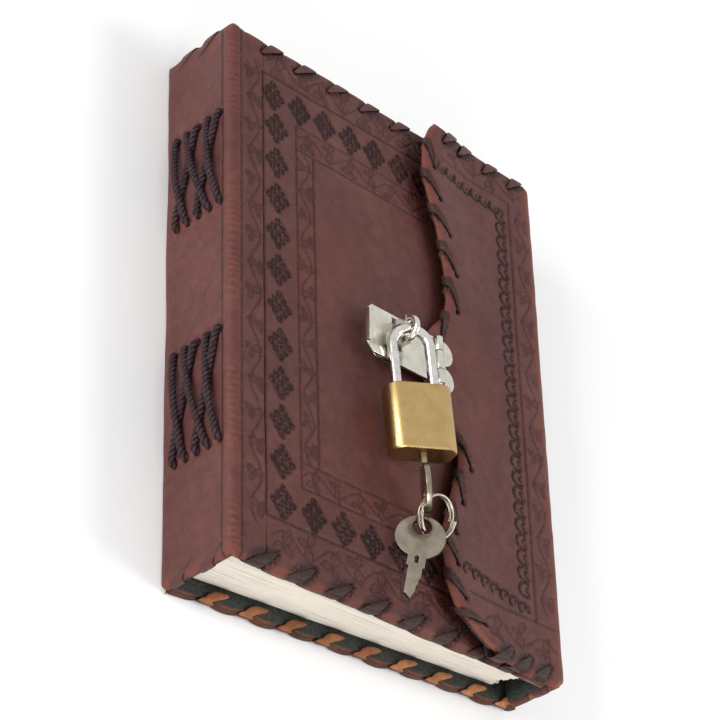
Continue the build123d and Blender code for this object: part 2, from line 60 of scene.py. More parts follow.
def on_lid(x, y, h):
    """Places on the sloping front, from its own x and y and a height out of its face."""
    run = np.asarray(x, float) + HALF_W
    h = np.asarray(h, float)
    x, z = -HALF_W + run * COS + h * SIN, THICK - run * SIN + h * COS
    return np.stack(np.broadcast_arrays(x, y, z), -1)


def unit(way):
    """A direction with a length of 1."""
    return way / np.linalg.norm(way)


def rounded(corners, radii):
    """A flat polyline with its inner corners rounded: lengths along it and its close points."""
    step = 0.2
    corners = [np.array(c, float) for c in corners]
    points = [corners[0]]
    for before, at, after, radius in zip(corners, corners[1:], corners[2:], radii):
        into, out = unit(at - before), unit(after - at)
        turn = math.acos(np.clip(into @ out, -1, 1))
        back = radius * math.tan(turn / 2)
        start, end = at - into * back, at + out * back
        for t in np.linspace(0, 1, 13):
            points.append((1 - t) ** 2 * start + 2 * t * (1 - t) * at + t * t * end)
    points.append(corners[-1])
    points = np.array(points)
    along = np.concatenate([[0], np.cumsum(np.linalg.norm(np.diff(points, axis=0), axis=1))])
    fine = np.linspace(0, along[-1], int(along[-1] / step) + 2)
    return fine, np.stack([np.interp(fine, along, points[:, i]) for i in (0, 1)], 1)


def smooth(t):
    """A soft step from 0 to 1."""
    t = np.clip(t, 0, 1)
    return t * t * (3 - 2 * t)


def waves(x, y, size, seed):
    """Soft irregular waves between about -1 and 1."""
    r = np.random.default_rng(seed)
    total = 0
    for _ in range(6):
        way, phase = r.uniform(0, 2 * math.pi, 2)
        long = size * r.uniform(0.6, 1.6)
        total = total + np.sin((x * math.cos(way) + y * math.sin(way)) * 2 * math.pi / long + phase)
    return total / 3


class Board:
    """A pressed height map over a panel, in millimetres, that the stamps and lines are drawn on."""
    step = 0.2
    char = 2.6  # how much a stamp darkens the leather for each millimetre it sinks

    def __init__(self, x0, x1, y0, y1):
        self.x0, self.y0 = x0, y0
        self.h = np.zeros((int((y1 - y0) / self.step) + 2, int((x1 - x0) / self.step) + 2))
        self.burn = np.zeros_like(self.h)

    def window(self, x, y, reach):
        """The part of the map within reach of a place, and its x and y."""
        rows, cols = self.h.shape
        i0 = max(0, int((x - reach - self.x0) / self.step))
        i1 = min(cols, int((x + reach - self.x0) / self.step) + 2)
        j0 = max(0, int((y - reach - self.y0) / self.step))
        j1 = min(rows, int((y + reach - self.y0) / self.step) + 2)
        if i0 >= i1 or j0 >= j1:
            return None
        gx = self.x0 + np.arange(i0, i1) * self.step
        gy = self.y0 + np.arange(j0, j1) * self.step
        return (slice(j0, j1), slice(i0, i1)), gx[None, :], gy[:, None]

    def line(self, points, width, depth, heat=0.5):
        """Press a line of this half width through the points, burnt by the tool's heat."""
        for (xa, ya), (xb, yb) in zip(points[:-1], points[1:]):
            dx, dy = xb - xa, yb - ya
            cut = self.window((xa + xb) / 2, (ya + yb) / 2, math.hypot(dx, dy) / 2 + 2 * width)
            if cut is None:
                continue
            part, gx, gy = cut
            t = np.clip(((gx - xa) * dx + (gy - ya) * dy) / max(dx * dx + dy * dy, 1e-9), 0, 1)
            far = np.hypot(gx - xa - t * dx, gy - ya - t * dy)
            self.h[part] = np.minimum(self.h[part], -depth * smooth(1.25 - far / width))
            burnt = heat * min(1, depth * self.char) * smooth(1.35 - far / width / 1.5)
            self.burn[part] = np.maximum(self.burn[part], burnt)

    def dot(self, x, y, radius, depth):
        """Press a round hollow."""
        cut = self.window(x, y, radius * 1.3)
        if cut is not None:
            part, gx, gy = cut
            near = smooth(1.3 - np.hypot(gx - x, gy - y) / radius)
            self.h[part] = np.minimum(self.h[part], -depth * near)
            self.burn[part] = np.maximum(self.burn[part], min(1, depth * self.char) * near)

    def ring(self, x, y, radius, width, depth):
        """Press a round line."""
        turns = np.linspace(0, 2 * math.pi, 13)
        points = zip(x + radius * np.cos(turns), y + radius * np.sin(turns))
        self.line(list(points), width, depth, 1.0)

    def at(self, x, y, burnt=False):
        """The height or the burn of the hot tools at places, between the map's points."""
        grid = self.burn if burnt else self.h
        fx = np.clip((x - self.x0) / self.step, 0, self.h.shape[1] - 1.001)
        fy = np.clip((y - self.y0) / self.step, 0, self.h.shape[0] - 1.001)
        i, j = fx.astype(int), fy.astype(int)
        u, v = fx - i, fy - j
        top = grid[j, i] * (1 - u) + grid[j, i + 1] * u
        low = grid[j + 1, i] * (1 - u) + grid[j + 1, i + 1] * u
        return top * (1 - v) + low * v


def lozenge(board, x, y):
    """The diamond stamp: nine small rosettes in a sunk lozenge."""
    half_wide, half_tall = 1.75, 2.05  # from one rosette to the next
    for i in (-1, 0, 1):
        board.line([(x + (i - 1) * half_wide, y + (i + 1) * half_tall),
                    (x + (i + 1) * half_wide, y + (i - 1) * half_tall)], 1.0, 0.25, 1.0)
    for i in (-1, 0, 1):
        for j in (-1, 0, 1):
            cx, cy = x + (i - j) * half_wide, y + (i + j) * half_tall
            board.ring(cx, cy, 0.85, 0.38, 0.42)
            board.dot(cx, cy, 0.35, 0.3)


def vine(board, start, end, width, seed, pitch=9.5):
    """A running leaf scroll along a band: an S stem with a curled leaf in each bay."""
    r = np.random.default_rng(seed)
    start, end = np.array(start, float), np.array(end, float)
    long = np.linalg.norm(end - start)
    way = (end - start) / long
    side = np.array([-way[1], way[0]])
    bays = max(1, round(long / pitch))
    s = np.linspace(0, long, bays * 10 + 1)
    sway = np.sin(s * math.pi * bays / long) * width * 0.3
    stem = start + s[:, None] * way + sway[:, None] * side
    board.line([tuple(p) for p in stem], 0.34, 0.3)
    for bay in range(bays):
        sign = 1 if bay % 2 == 0 else -1
        centre = start + way * long * (bay + 0.5) / bays - side * sign * width * 0.16
        for turn, scale in ((0.0, 1.0), (2.3, 0.8), (-2.2, 0.7)):
            t = np.linspace(0, 1, 9)
            swing = turn + r.uniform(-0.3, 0.3) + math.atan2(way[1], way[0]) + sign * 1.3
            out = np.array([math.cos(swing), math.sin(swing)])
            across = np.array([-out[1], out[0]])
            size = scale * width * 0.4
            for half in (1, -1):
                leaf = centre + out * (t * size * 1.5)[:, None]
                leaf = leaf + across * (half * np.sin(t * math.pi) * size * 0.42)[:, None]
                board.line([tuple(p) for p in leaf], 0.3, 0.32)
            board.line([tuple(centre), tuple(centre + out * size * 1.1)], 0.24, 0.24)


def points_of(piece, unit=MM):
    """The places of a mesh's points, in millimetres or another unit."""
    flat = np.empty(len(piece.data.vertices) * 3)
    piece.data.vertices.foreach_get("co", flat)
    return flat.reshape(-1, 3) / unit


def move_points(piece, places):
    """Put a mesh's points at places in millimetres."""
    piece.data.vertices.foreach_set("co", (places * MM).ravel())
    piece.data.update()


def mark(piece, key, values):
    """Keep one value for each point of a mesh, which its finish reads."""
    attribute = piece.data.attributes.new(key, "FLOAT", "POINT")
    values = np.broadcast_to(values, len(piece.data.vertices))
    attribute.data.foreach_set("value", values.astype(np.float32))


def choose(piece):
    """Make a piece the only one that is selected."""
    bpy.ops.object.select_all(action="DESELECT")
    piece.select_set(True)
    bpy.context.view_layer.objects.active = piece


def face_out():
    """Turn all faces of the mesh that is being edited outwards, and stop editing it."""
    bpy.ops.mesh.select_all(action="SELECT")
    bpy.ops.mesh.normals_make_consistent(inside=False)
    bpy.ops.object.mode_set(mode="OBJECT")


def panel(name, nu, nv, place):
    """A grid of nu by nv faces whose points are put by place, which takes u and v from 0 to 1."""
    bpy.ops.mesh.primitive_grid_add(x_subdivisions=nu, y_subdivisions=nv, size=2)
    piece = bpy.context.object
    piece.name = name
    flat = points_of(piece, 1.0)
    where, marks = place((flat[:, 0] + 1) / 2, (flat[:, 1] + 1) / 2)
    move_points(piece, where)
    for key, values in marks.items():
        mark(piece, key, values)
    return piece


def thicken(piece, thick, materials):
    """Give a panel its thickness inwards, with its own face, back and rim finishes."""
    for material in materials:
        piece.data.materials.append(material)
    solid = piece.modifiers.new("thick", "SOLIDIFY")
    solid.thickness = thick * MM
    solid.offset = -1
    if len(materials) == 3:
        solid.material_offset = 1
        solid.material_offset_rim = 2
    bpy.context.view_layer.objects.active = piece
    bpy.ops.object.modifier_apply(modifier="thick")
    piece.data.shade_smooth()
    return piece


def finish_of(name, roughness, metallic=0.0, specular=0.5):
    """A material, its node tree, its main shader and the place that its patterns follow."""
    material = bpy.data.materials.new(name)
    material.use_nodes = True
    tree = material.node_tree
    shader = tree.nodes["Principled BSDF"]
    shader.inputs["Roughness"].default_value = roughness
    shader.inputs["Metallic"].default_value = metallic
    shader.inputs["Specular IOR Level"].default_value = specular
    return material, tree, shader, node(tree, "ShaderNodeTexCoord").outputs["Object"]


def node(tree, kind, settings=None, **sockets):
    """A shader node with its settings, and its sockets set or linked."""
    made = tree.nodes.new(kind)
    for key, value in (settings or {}).items():
        setattr(made, key, value)
    for key, value in sockets.items():
        numbered = key[0] == "i" and key[1:].isdigit()
        socket = made.inputs[int(key[1:]) if numbered else key]
        if isinstance(value, bpy.types.NodeSocket):
            tree.links.new(value, socket)
        else:
            socket.default_value = value
    return made


def mixed(tree, factor, first, second):
    """Two colours mixed by a factor."""
    return node(
        tree, "ShaderNodeMix", {"data_type": "RGBA"}, i0=factor, i6=first, i7=second
    ).outputs[2]


def ranged(tree, value, low, high, to_low=0.0, to_high=1.0):
    """A value moved from one range to another and kept in it."""
    return node(
        tree, "ShaderNodeMapRange", {"clamp": True},
        i0=value, i1=low, i2=high, i3=to_low, i4=to_high
    ).outputs[0]


def noise(tree, place, scale, detail=4.0, rough=0.55):
    """Noise at a scale per metre."""
    return node(
        tree, "ShaderNodeTexNoise", None, Vector=place, Scale=scale, Detail=detail, Roughness=rough
    ).outputs["Fac"]


def mark_in(tree, key):
    """The value that a mesh's points keep under a name, or 0."""
    return node(tree, "ShaderNodeAttribute", {"attribute_name": key}).outputs["Fac"]


def combined(tree, operation, first, second):
    """Two values put together by a maths operation."""
    return node(tree, "ShaderNodeMath", {"operation": operation}, i0=first, i1=second).outputs[0]


def bumped(tree, height, strength, distance):
    """A normal raised by a height."""
    return node(
        tree, "ShaderNodeBump", None, Strength=strength, Distance=distance, Height=height
    ).outputs[0]


def feed(tree, shader, **values):
    """Lead a colour, a roughness or a normal into the main shader."""
    sockets = {"colour": "Base Color", "rough": "Roughness", "normal": "Normal"}
    for key, value in values.items():
        tree.links.new(value, shader.inputs[sockets[key]])


def leather_finish(name, dark, mid, worn, gloss):
    """Oiled hide: mottled, finely grained, darker where pressed, darkened by a painted shadow where
    a mesh marks one, redder where worn.
    """
    material, tree, shader, place = finish_of(name, gloss, specular=0.14)

    def darker(part):
        return (*(c * part for c in dark), 1)

    cloud = ranged(tree, noise(tree, place, 28.0, 5.0), 0.32, 0.7)
    blotch = ranged(tree, noise(tree, place, 260.0, 6.0, 0.68), 0.36, 0.66, 0.0, 0.65)
    fine = ranged(tree, noise(tree, place, 420.0, 6.0, 0.7), 0.3, 0.75)
    colour = mixed(tree, cloud, (*dark, 1), (*mid, 1))
    colour = mixed(tree, blotch, colour, darker(0.62))
    colour = mixed(tree, ranged(tree, fine, 0.0, 1.0, 0.0, 0.35), colour, (*dark, 1))
    patches = ranged(tree, noise(tree, place, 160.0, 5.0, 0.65), 0.25, 0.6)
    wear_and_shadow = combined(tree, "MULTIPLY", mark_in(tree, "wear"), patches)
    colour = mixed(tree, wear_and_shadow, colour, (*worn, 1))
    # A painted shadow, marked on the front beside the flap's free edge, darkens the hide towards
    # this colour.
    painted_shadow_colour = (dark[0] * 0.36, dark[1] * 0.22, dark[2] * 0.2, 1)
    colour = mixed(tree, mark_in(tree, "flap_shadow"), colour, painted_shadow_colour)
    pressed = mark_in(tree, "tool")
    beads = node(tree, "ShaderNodeTexVoronoi", None, Vector=place, Scale=640.0, Randomness=0.45)
    struck = combined(tree, "MULTIPLY", pressed, ranged(tree, beads.outputs[0], 0.15, 0.55))
    colour = mixed(tree, ranged(tree, pressed, 0.0, 1.0, 0.0, 0.6), colour, darker(0.3))
    colour = mixed(tree, ranged(tree, struck, 0.1, 0.8, 0.0, 0.85), colour, darker(0.1))
    sheen = ranged(tree, noise(tree, place, 90.0, 5.0), 0.3, 0.7, gloss - 0.06, gloss + 0.1)
    pores = node(tree, "ShaderNodeTexVoronoi", {"feature": "SMOOTH_F1"}, Vector=place, Scale=1050.0)
    grain = combined(tree, "ADD", pores.outputs[0], fine)
    dents = node(
        tree, "ShaderNodeBump", {"invert": True}, Strength=0.6, Distance=0.0006, Height=struck,
        Normal=bumped(tree, grain, 0.3, 0.0005)
    )
    feed(tree, shader, colour=colour, rough=sheen, normal=dents.outputs[0])
    return material


HIDE_FINISHES = [leather_finish(*finish) for finish in (
    ("hide_face", (0.098, 0.036, 0.032), (0.15, 0.057, 0.049), (0.2, 0.058, 0.04), 0.45),
    ("hide_back", (0.10, 0.045, 0.03), (0.17, 0.08, 0.05), (0.3, 0.14, 0.08), 0.7),
    ("hide_rim", (0.03, 0.01, 0.008), (0.07, 0.024, 0.017), (0.24, 0.105, 0.058), 0.5),
)]

# Tooling of the front: a lined frame with scrolls outside it and lozenges inside it, then a double
# line with a scroll between. It all runs on under the flap.
front = Board(-66, 66, -89, 89)
LINE, THIN_LINE = (0.4, 0.4), (0.36, 0.36)  # half width and depth
SEAM_X, TOOLED_END = -52.0, 62.0
HEAD_LINE, TAIL_LINE = 75.7, -72.3
front.line([(SEAM_X, TAIL_LINE), (SEAM_X, HEAD_LINE)], *LINE)
for y in (HEAD_LINE, TAIL_LINE):
    front.line([(SEAM_X, y), (TOOLED_END, y)], *LINE)
vine(front, (-50, 81), (60, 80.5), 9.5, 1)
vine(front, (-50, -78), (60, -78), 9.5, 2)
vine(front, (-55.6, -76), (-55.6, 78), 6.5, 3)
for x in (-47.9, -37.1, -26.4, -15.5, -4.8, 6.2, 17.0, 27.8, 38.6, 49.4):
    lozenge(front, x, 68.6)
for x in (-45.6, -33.9, -22.3, -11.0, 0.2, 11.4, 22.7, 34.0, 45.3):
    lozenge(front, x, -66.6)
for k, y in enumerate(np.linspace(57.4, -54.2, 10)):
    lozenge(front, -46.6 + 0.1 * k, y)
BAND_X = -38.5
for x, head, tail in ((BAND_X, 62.5, -59.5), (-31.5, 54.0, -51.5)):
    front.line([(x, head), (x, tail)], *THIN_LINE)
    for y in (head, tail):
        front.line([(BAND_X, y), (TOOLED_END, y)], *THIN_LINE)
vine(front, (-38, 58.2), (60, 58.2), 7.5, 4, 9.0)
vine(front, (-35, 53), (-35, -51), 6.5, 5, 9.0)
vine(front, (-38, -55.5), (60, -55.5), 7.0, 6, 9.0)
HEAD_PITCH, TAIL_PITCH = 13.9, 14.3
HEAD_LEAN, TAIL_LEAN = 6.8, -7.0  # along the edge, from a stitch's slit to where it turns over
HEAD_STITCHES = np.arange(-52.0, 58.0, HEAD_PITCH)
TAIL_STITCHES = np.arange(-48.2, 60.0, TAIL_PITCH)


def seat(board, hole, edge, wide):
    """Sink the leather under one stitch, from its slit to the edge, and open the slit."""
    (xa, ya), (xb, yb) = hole, edge
    # The sunk seat and the opened slit are also darkened through the burn map: painted shade in the
    # groove round the lace and in the slit.
    for t in np.linspace(0, 1, 6)[:-1]:
        a = (xa + (xb - xa) * t, ya + (yb - ya) * t)
        b = (xa + (xb - xa) * (t + 0.2), ya + (yb - ya) * (t + 0.2))
        board.line([a, b], (0.45 + 0.55 * min(1, t * 2)) * wide, 0.42, 0.8)
    board.dot(xa, ya, 1.0, 1.1)


for x in HEAD_STITCHES:
    seat(front, (x, 82.9), (x + HEAD_LEAN, 87.6), 2.5)
for x in TAIL_STITCHES:
    seat(front, (x, -82.9), (x + TAIL_LEAN, -87.6), 2.5)
COVER_FORE = 60.6
EDGE_DROP, EDGE_ROUND = 1.3, 2.2  # how far a cut edge is rounded down, and over what width


def edge_pull(x, stitches):
    """How far a laced edge is drawn in at places along it."""
    near = np.min(np.abs(np.asarray(x)[..., None] - stitches), axis=-1)
    return 0.55 * np.exp(-(near / 3.0) ** 2)


def front_tall(x, v):
    """The half height of the front at x, on the head or tail side."""
    head, tail = edge_pull(x, HEAD_STITCHES + HEAD_LEAN), edge_pull(x, TAIL_STITCHES + TAIL_LEAN)
    pull = np.where(v > 0.5, head, tail)
    return HALF_H + 0.35 - pull + 0.25 * np.sin(x / 9.0 + 4 * v)


def front_place(u, v):
    """The front from its first tooled line to its fore edge under the flap."""
    x = SEAM_X + u * (COVER_FORE - SEAM_X)
    tall = front_tall(x, v)
    y = (2 * v - 1) * tall
    end = tall - np.abs(y)
    h = front.at(x, y) + 0.12 * waves(x, y, 46, 11) + 0.05 * waves(x, y, 15, 12)
    h = h - EDGE_DROP * (1 - smooth(end / EDGE_ROUND)) ** 2
    edge = np.minimum(end, COVER_FORE - x)
    wear = 0.45 * (1 - smooth(edge / 3.5)) + 0.4 * smooth(waves(x, y, 60, 13) - 0.2)
    return on_lid(x, y, h), {"tool": front.at(x, y, True), "wear": wear}


front_hide = panel("front_hide", 232, 350, front_place)
FOOT_X = -62.6  # where the back ends and the spine begins, underneath
spine_way, spine_line = rounded(
    [(FOOT_X, 0.0), (-HALF_W, 0.0), (-HALF_W, THICK), on_lid(SEAM_X, 0, 0.0)[[0, 2]]], (1.4, 3.4)
)
spine_run = spine_way[-1]
STATIONS = {"lower": (-52.0, -17.0), "upper": (25.5, 57.0)}
HOLE_ZS = THICK / 2 + (np.arange(5) - 2) * 4.9


def along_fold(way, line, s):
    """Places on a folded section at lengths along it, and the directions out of its face."""
    x, z = np.interp(s, way, line[:, 0]), np.interp(s, way, line[:, 1])
    dx, dz = np.gradient(line[:, 0], way), np.gradient(line[:, 1], way)
    nx, nz = -np.interp(s, way, dz), np.interp(s, way, dx)
    size = np.hypot(nx, nz)
    return x, z, nx / size, nz / size


def spine_place(u, v):
    """The spine from under its foot, up its face and over the fold to the first tooled line."""
    s = u * spine_run
    x, z, nx, nz = along_fold(spine_way, spine_line, s)
    left = spine_run - s
    lid_x = SEAM_X - left
    over = smooth((13.5 - left) / 5.0)
    tall = (1 - over) * (HALF_H + 0.2 * np.sin(s)) + over * front_tall(lid_x, v)
    y = (2 * v - 1) * tall
    end = tall - np.abs(y)

    def band(middle, wide):
        return np.exp(-((left - middle) / wide) ** 2)

    ridge, valley = band(12.2, 3.0), band(6.6, 1.7)
    crease = band(15.4, 0.5) + band(8.9, 0.5)
    ticks = smooth(np.sin(y * 2.9 + s * 0.8 + 2.5 * waves(y, 0 * y, 19, 16)) * 2.2 - 1.0)
    ticks = ticks * smooth(waves(y, 0 * y, 31, 17) + 0.7) * band(11.6, 1.5)
    holes = np.zeros_like(s)
    on_face = (s > 3) & (s < 31)
    for hole_y in (*STATIONS["lower"], *STATIONS["upper"]):
        for hole_z in HOLE_ZS:
            far = np.hypot(y - hole_y, z - hole_z)
            holes = np.maximum(holes, np.where(on_face, smooth(1.6 - far / 1.5), 0))
    h = front.at(lid_x, y) * over + 0.18 * ticks - 0.25 * crease + 0.55 * ridge - 0.3 * valley
    h = h + 0.12 * waves(s, y, 40, 14) + 0.05 * waves(s, y, 13, 15) - 0.7 * holes
    h = h - EDGE_DROP * (1 - smooth(end / EDGE_ROUND)) ** 2
    # The ticks on the fold's ridge are small raised creases, and their lighter worn colour is a
    # painted highlight.
    wear = 0.1 * ridge + 0.9 * ticks + 0.9 * holes
    wear = wear + 0.5 * (1 - smooth(end / 4)) + 0.3 * (1 - smooth((s - 1.5) / 4))
    tool = front.at(lid_x, y, True) * over + 0.6 * crease
    where = np.stack([x + nx * h, y, z + nz * h], -1)
    return where, {"tool": np.clip(tool, 0, 1), "wear": np.clip(wear, 0, 1)}


spine_hide = panel("spine_hide", 92, 372, spine_place)
thicken(spine_hide, HIDE, HIDE_FINISHES)
foot = points_of(spine_hide)
foot[:, 2] = np.maximum(foot[:, 2], 0.0)  # it stands on what the diary lies on
move_points(spine_hide, foot)
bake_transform(spine_hide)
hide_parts("spine_panel")


def close_under(piece, down, materials):
    """Give a flat panel with dense tooling its rim and one plain face underneath."""
    for material in materials:
        piece.data.materials.append(material)
    points, faces = len(piece.data.vertices), len(piece.data.polygons)
    choose(piece)
    bpy.ops.object.mode_set(mode="EDIT")
    bpy.ops.mesh.select_mode(type="EDGE")
    bpy.ops.mesh.select_all(action="DESELECT")
    bpy.ops.mesh.select_non_manifold()
    bpy.ops.mesh.extrude_region_move(TRANSFORM_OT_translate={"value": Vector(down) * MM})
    bpy.ops.mesh.edge_face_add()
    face_out()
    places = points_of(piece)
    under = places[points:]
    sunk = (under[:, 0] + HALF_W) * SIN + (under[:, 2] - THICK) * COS + HIDE
    under -= np.outer(sunk, (SIN, 0, COS))
    move_points(piece, places)
    slots = np.zeros(len(piece.data.polygons), np.int32)
    slots[faces:] = 2
    slots[-1] = 1
    piece.data.polygons.foreach_set("material_index", slots)
    piece.data.shade_smooth()
    piece.select_set(False)


close_under(front_hide, (-SIN * HIDE, 0, -COS * HIDE), HIDE_FINISHES)
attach(front_hide, "front_cover")
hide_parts("front_cover")

# Flap hide: the same side of leather comes up the fore edge and wraps over the front, where only
# the hasp holds it. Its free edge is cut to a tongue under the hasp and a lobe towards each end.
FLAP_H = 3.4
TONGUE_Y = 0.2
flap_edge = np.array([
    (36.0, -88.0), (28.4, -85.0), (18.8, -78.7), (15.5, -72.7), (13.6, -60.9), (13.9, -54.6),
    (20.4, -37.9), (22.9, -31.9), (23.6, -24.0), (21.5, -17.0), (15.0, -10.5), (10.8, -6.0),
    (10.0, TONGUE_Y), (10.6, 6.5), (14.4, 13.0), (19.4, 18.5), (20.9, 23.0), (21.3, 29.5),
    (20.9, 38.0), (19.2, 46.6), (16.4, 54.5), (13.8, 62.3), (12.2, 68.0), (11.8, 74.3),
    (12.7, 80.0), (15.2, 85.6), (18.0, 88.0),
])
fine_y = np.linspace(-90, 90, 721)
fine_x = np.interp(fine_y, flap_edge[:, 1], flap_edge[:, 0])
soft_edge = np.hanning(23)[1:-1] / np.hanning(23).sum()
fine_x = np.convolve(np.pad(fine_x, 10, mode="edge"), soft_edge, "valid")


def edge_x(y):
    """Where the flap's free edge is at y."""
    return np.interp(y, fine_y, fine_x)


flap_board = Board(6, 68, -91, 91)
FLAP_LINE_X, FLAP_HEAD_LINE, FLAP_TAIL_LINE = 54.0, 77.0, -71.5
flap_board.line([(FLAP_LINE_X, FLAP_TAIL_LINE), (FLAP_LINE_X, FLAP_HEAD_LINE)], *LINE)
flap_board.line([(20.0, FLAP_HEAD_LINE), (FLAP_LINE_X, FLAP_HEAD_LINE)], 0.36, 0.3)
flap_board.line([(24.0, -71.8), (64.0, FLAP_TAIL_LINE)], *LINE)


def curl(board, x, y, heading, size):
    """The curled leaf stamp: an open hook with a slanted leaf inside it."""
    turns = np.linspace(0.9, 5.2, 9) + heading
    hook = [(x + size * 0.5 * math.cos(t), y + size * 0.42 * math.sin(t)) for t in turns]
    board.line(hook, 0.42, 0.5, 0.85)
    turns = np.linspace(1.4, 4.4, 6) + heading
    inner = [(x + size * (0.24 + 0.2 * math.cos(t)), y + size * 0.17 * math.sin(t)) for t in turns]
    board.line(inner, 0.36, 0.45, 0.85)


for y in np.arange(-62.4, 73.0, 5.3):
    curl(flap_board, 50.0, y, 0.25, 5.6)
for x in np.arange(20.5, 47.0, 4.4):
    curl(flap_board, x, 73.4 - (x - 21) * 0.06, 1.5, 4.6)
for x in np.arange(23.5, 51.5, 4.2):
    curl(flap_board, x, -65.0 - (x - 23.5) * 0.15, -1.2, 4.4)
vine(flap_board, (59.4, -68), (59.4, 76), 7.0, 21)
vine(flap_board, (22, 82), (60, 82), 7.5, 22)
vine(flap_board, (30, -78.5), (62, -79), 9.0, 23)
flap_arc = np.concatenate([[0], np.cumsum(np.hypot(np.diff(fine_x), np.diff(fine_y)))])
inside_y = np.abs(fine_y) <= 87.0
SCALLOP_AT = np.arange(flap_arc[inside_y][0] + 6, flap_arc[inside_y][-1] - 9, 12.3)
from_tongue = np.abs(np.interp(SCALLOP_AT + 5, flap_arc, fine_y) - TONGUE_Y)
SCALLOP_AT = SCALLOP_AT[from_tongue > 15]


def on_scallop(along, inward):
    """Places on the flap from its free edge: along it and in from it."""
    x, y = np.interp(along, flap_arc, fine_x), np.interp(along, flap_arc, fine_y)
    tx, ty = np.gradient(fine_x, flap_arc), np.gradient(fine_y, flap_arc)
    tx, ty = np.interp(along, flap_arc, tx), np.interp(along, flap_arc, ty)
    return x + ty * inward, y - tx * inward


for along in SCALLOP_AT:
    xs, ys = on_scallop(np.array([along, along + 8.8]), np.array([4.8, 0.4]))
    seat(flap_board, (xs[0], ys[0]), (xs[1], ys[1]), 1.2)
FLAP_HEAD_STITCHES = np.array([21.5, 30.0, 43.0, 55.0])
FLAP_TAIL_STITCHES = np.array([41.0, 50.0, 59.0])
FLAP_LEAN = 5.2
for x in FLAP_HEAD_STITCHES:
    seat(flap_board, (x, 83.9), (x + FLAP_LEAN, 88.6), 2.6)
for x in FLAP_TAIL_STITCHES:
    seat(flap_board, (x, -84.2), (x - FLAP_LEAN, -88.9), 2.3)
FLAP_FROM, FLAP_HALF_H, TAIL_DROP = 8.0, HALF_H + 0.2, 1.6
LOWER_FOLD = (65.95, 3.2)
fold_x, fold_z = on_lid(66.6, 0, FLAP_H)[[0, 2]]
flap_way, flap_line = rounded(
    [on_lid(FLAP_FROM, 0, FLAP_H)[[0, 2]], (fold_x + 0.25, fold_z), LOWER_FOLD], (4.2,)
)
flap_run = flap_way[-1]


def flap_rise(inward, y):
    """How far the flap's free edge has curled up off the front, away from the hasp's tongue."""
    away = smooth((np.abs(y) - 14) / 16)
    high = 1.6 + 0.6 * waves(y, y * 0, 55, 31) + 1.4 * smooth((y - 40) / 40)
    return away * high * (1 - smooth(inward / 26))


def flap_place(u, v):
    """The flap from its free edge, over the fore-edge fold and down the strip to the lower fold."""
    y0 = (2 * v - 1) * FLAP_HALF_H
    start = edge_x(y0) - FLAP_FROM
    s = start + u * (flap_run - start)
    lid_x = FLAP_FROM + s
    on_flap = 1 - smooth((s - (flap_run - 25.8)) / 4.0)
    y = y0 - TAIL_DROP * smooth((-y0 - 60) / 28) * smooth((lid_x - 26) / 20) * on_flap
    y = y + 0.22 * np.sin(lid_x / 5.0) * smooth((np.abs(y0) - 82) / 6)
    y = y + smooth((y0 - 70) / 16) * on_flap
    x, z, nx, nz = along_fold(flap_way, flap_line, s)
    free = np.minimum(s - start, FLAP_HALF_H - np.abs(y0))
    away = smooth((np.abs(y0) - 17) / 12)
    h = flap_board.at(lid_x, y) * on_flap + flap_rise(s - start, y0)
    h = h + 0.1 * waves(s, y0, 42, 32) * away + 0.05 * waves(s, y0, 14, 33)
    h = h - 1.2 * (1 - smooth(free / 2.0)) ** 2
    wear = 0.85 * (1 - smooth(free / 3.0)) + 0.55 * np.exp(-((s - flap_run + 22.3) / 3.5) ** 2)
    wear = wear + 0.25 * smooth(waves(s, y0, 60, 34) - 0.3)
    where = np.stack([x + nx * h, y, z + nz * h], -1)
    return where, {"tool": flap_board.at(lid_x, y, True) * on_flap, "wear": np.clip(wear, 0, 1)}


flap_hide = panel("flap_hide", 126, 345, flap_place)
thicken(flap_hide, HIDE, HIDE_FINISHES)
# The front is darkened in a band along the flap's free edge: a painted shadow of the lifted flap,
# weaker near the hasp's tongue.
front_x, front_y, _ = points_of(front_hide).T
short = edge_x(front_y) + 1.0 - ((front_x + HALF_W) / COS - HALF_W)  # how far short of the flap's free edge, along which its shadow is painted
wear_and_shadow = 0.8 * np.exp(-(short / 6.5) ** 2) * (0.6 + 0.4 * smooth((np.abs(front_y - 8) - 8) / 14))
mark(front_hide, "flap_shadow", wear_and_shadow)
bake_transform(flap_hide)
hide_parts("flap", "fore_edge_strip")

# Back hide: the plain part of the same side of leather, which the diary lies on. It is folded up at
# the fore edge, and its lacing pinches the cut edges at head and tail.
back_way, back_line = rounded([LOWER_FOLD, (65.6, 0.0), (FOOT_X, 0.0)], (2.4,))
BACK_PITCH, BACK_LEAN = 14.0, 6.8
BACK_STITCHES = np.arange(-58.0, 58.0, BACK_PITCH)


def back_place(u, v):
    """The back from the lower fold of the fore edge to the foot of the spine."""
    s = u * back_way[-1]
    x, z = np.interp(s, back_way, back_line[:, 0]), np.interp(s, back_way, back_line[:, 1])
    near = np.min(np.abs(x[:, None] - BACK_STITCHES - BACK_LEAN), axis=1)
    pinch = np.exp(-(near / 3.2) ** 2)
    y = (2 * v - 1) * (HALF_H + 0.5 + 0.2 * np.sin(x / 7.0) - 0.9 * pinch)
    edge = HALF_H - np.abs(y)
    z = z + (0.3 + 0.7 * pinch) * (1 - smooth(edge / 3)) ** 2
    wear = 0.22 * (1 - smooth(edge / 4)) + 0.15 * smooth(waves(x, y, 50, 41))
    return np.stack([x, y, z], -1), {"tool": 0.0, "wear": np.clip(wear, 0, 1)}


back_hide = panel("back_hide", 110, 120, back_place)
thicken(back_hide, HIDE, HIDE_FINISHES)
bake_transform(back_hide)
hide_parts("back_cover")

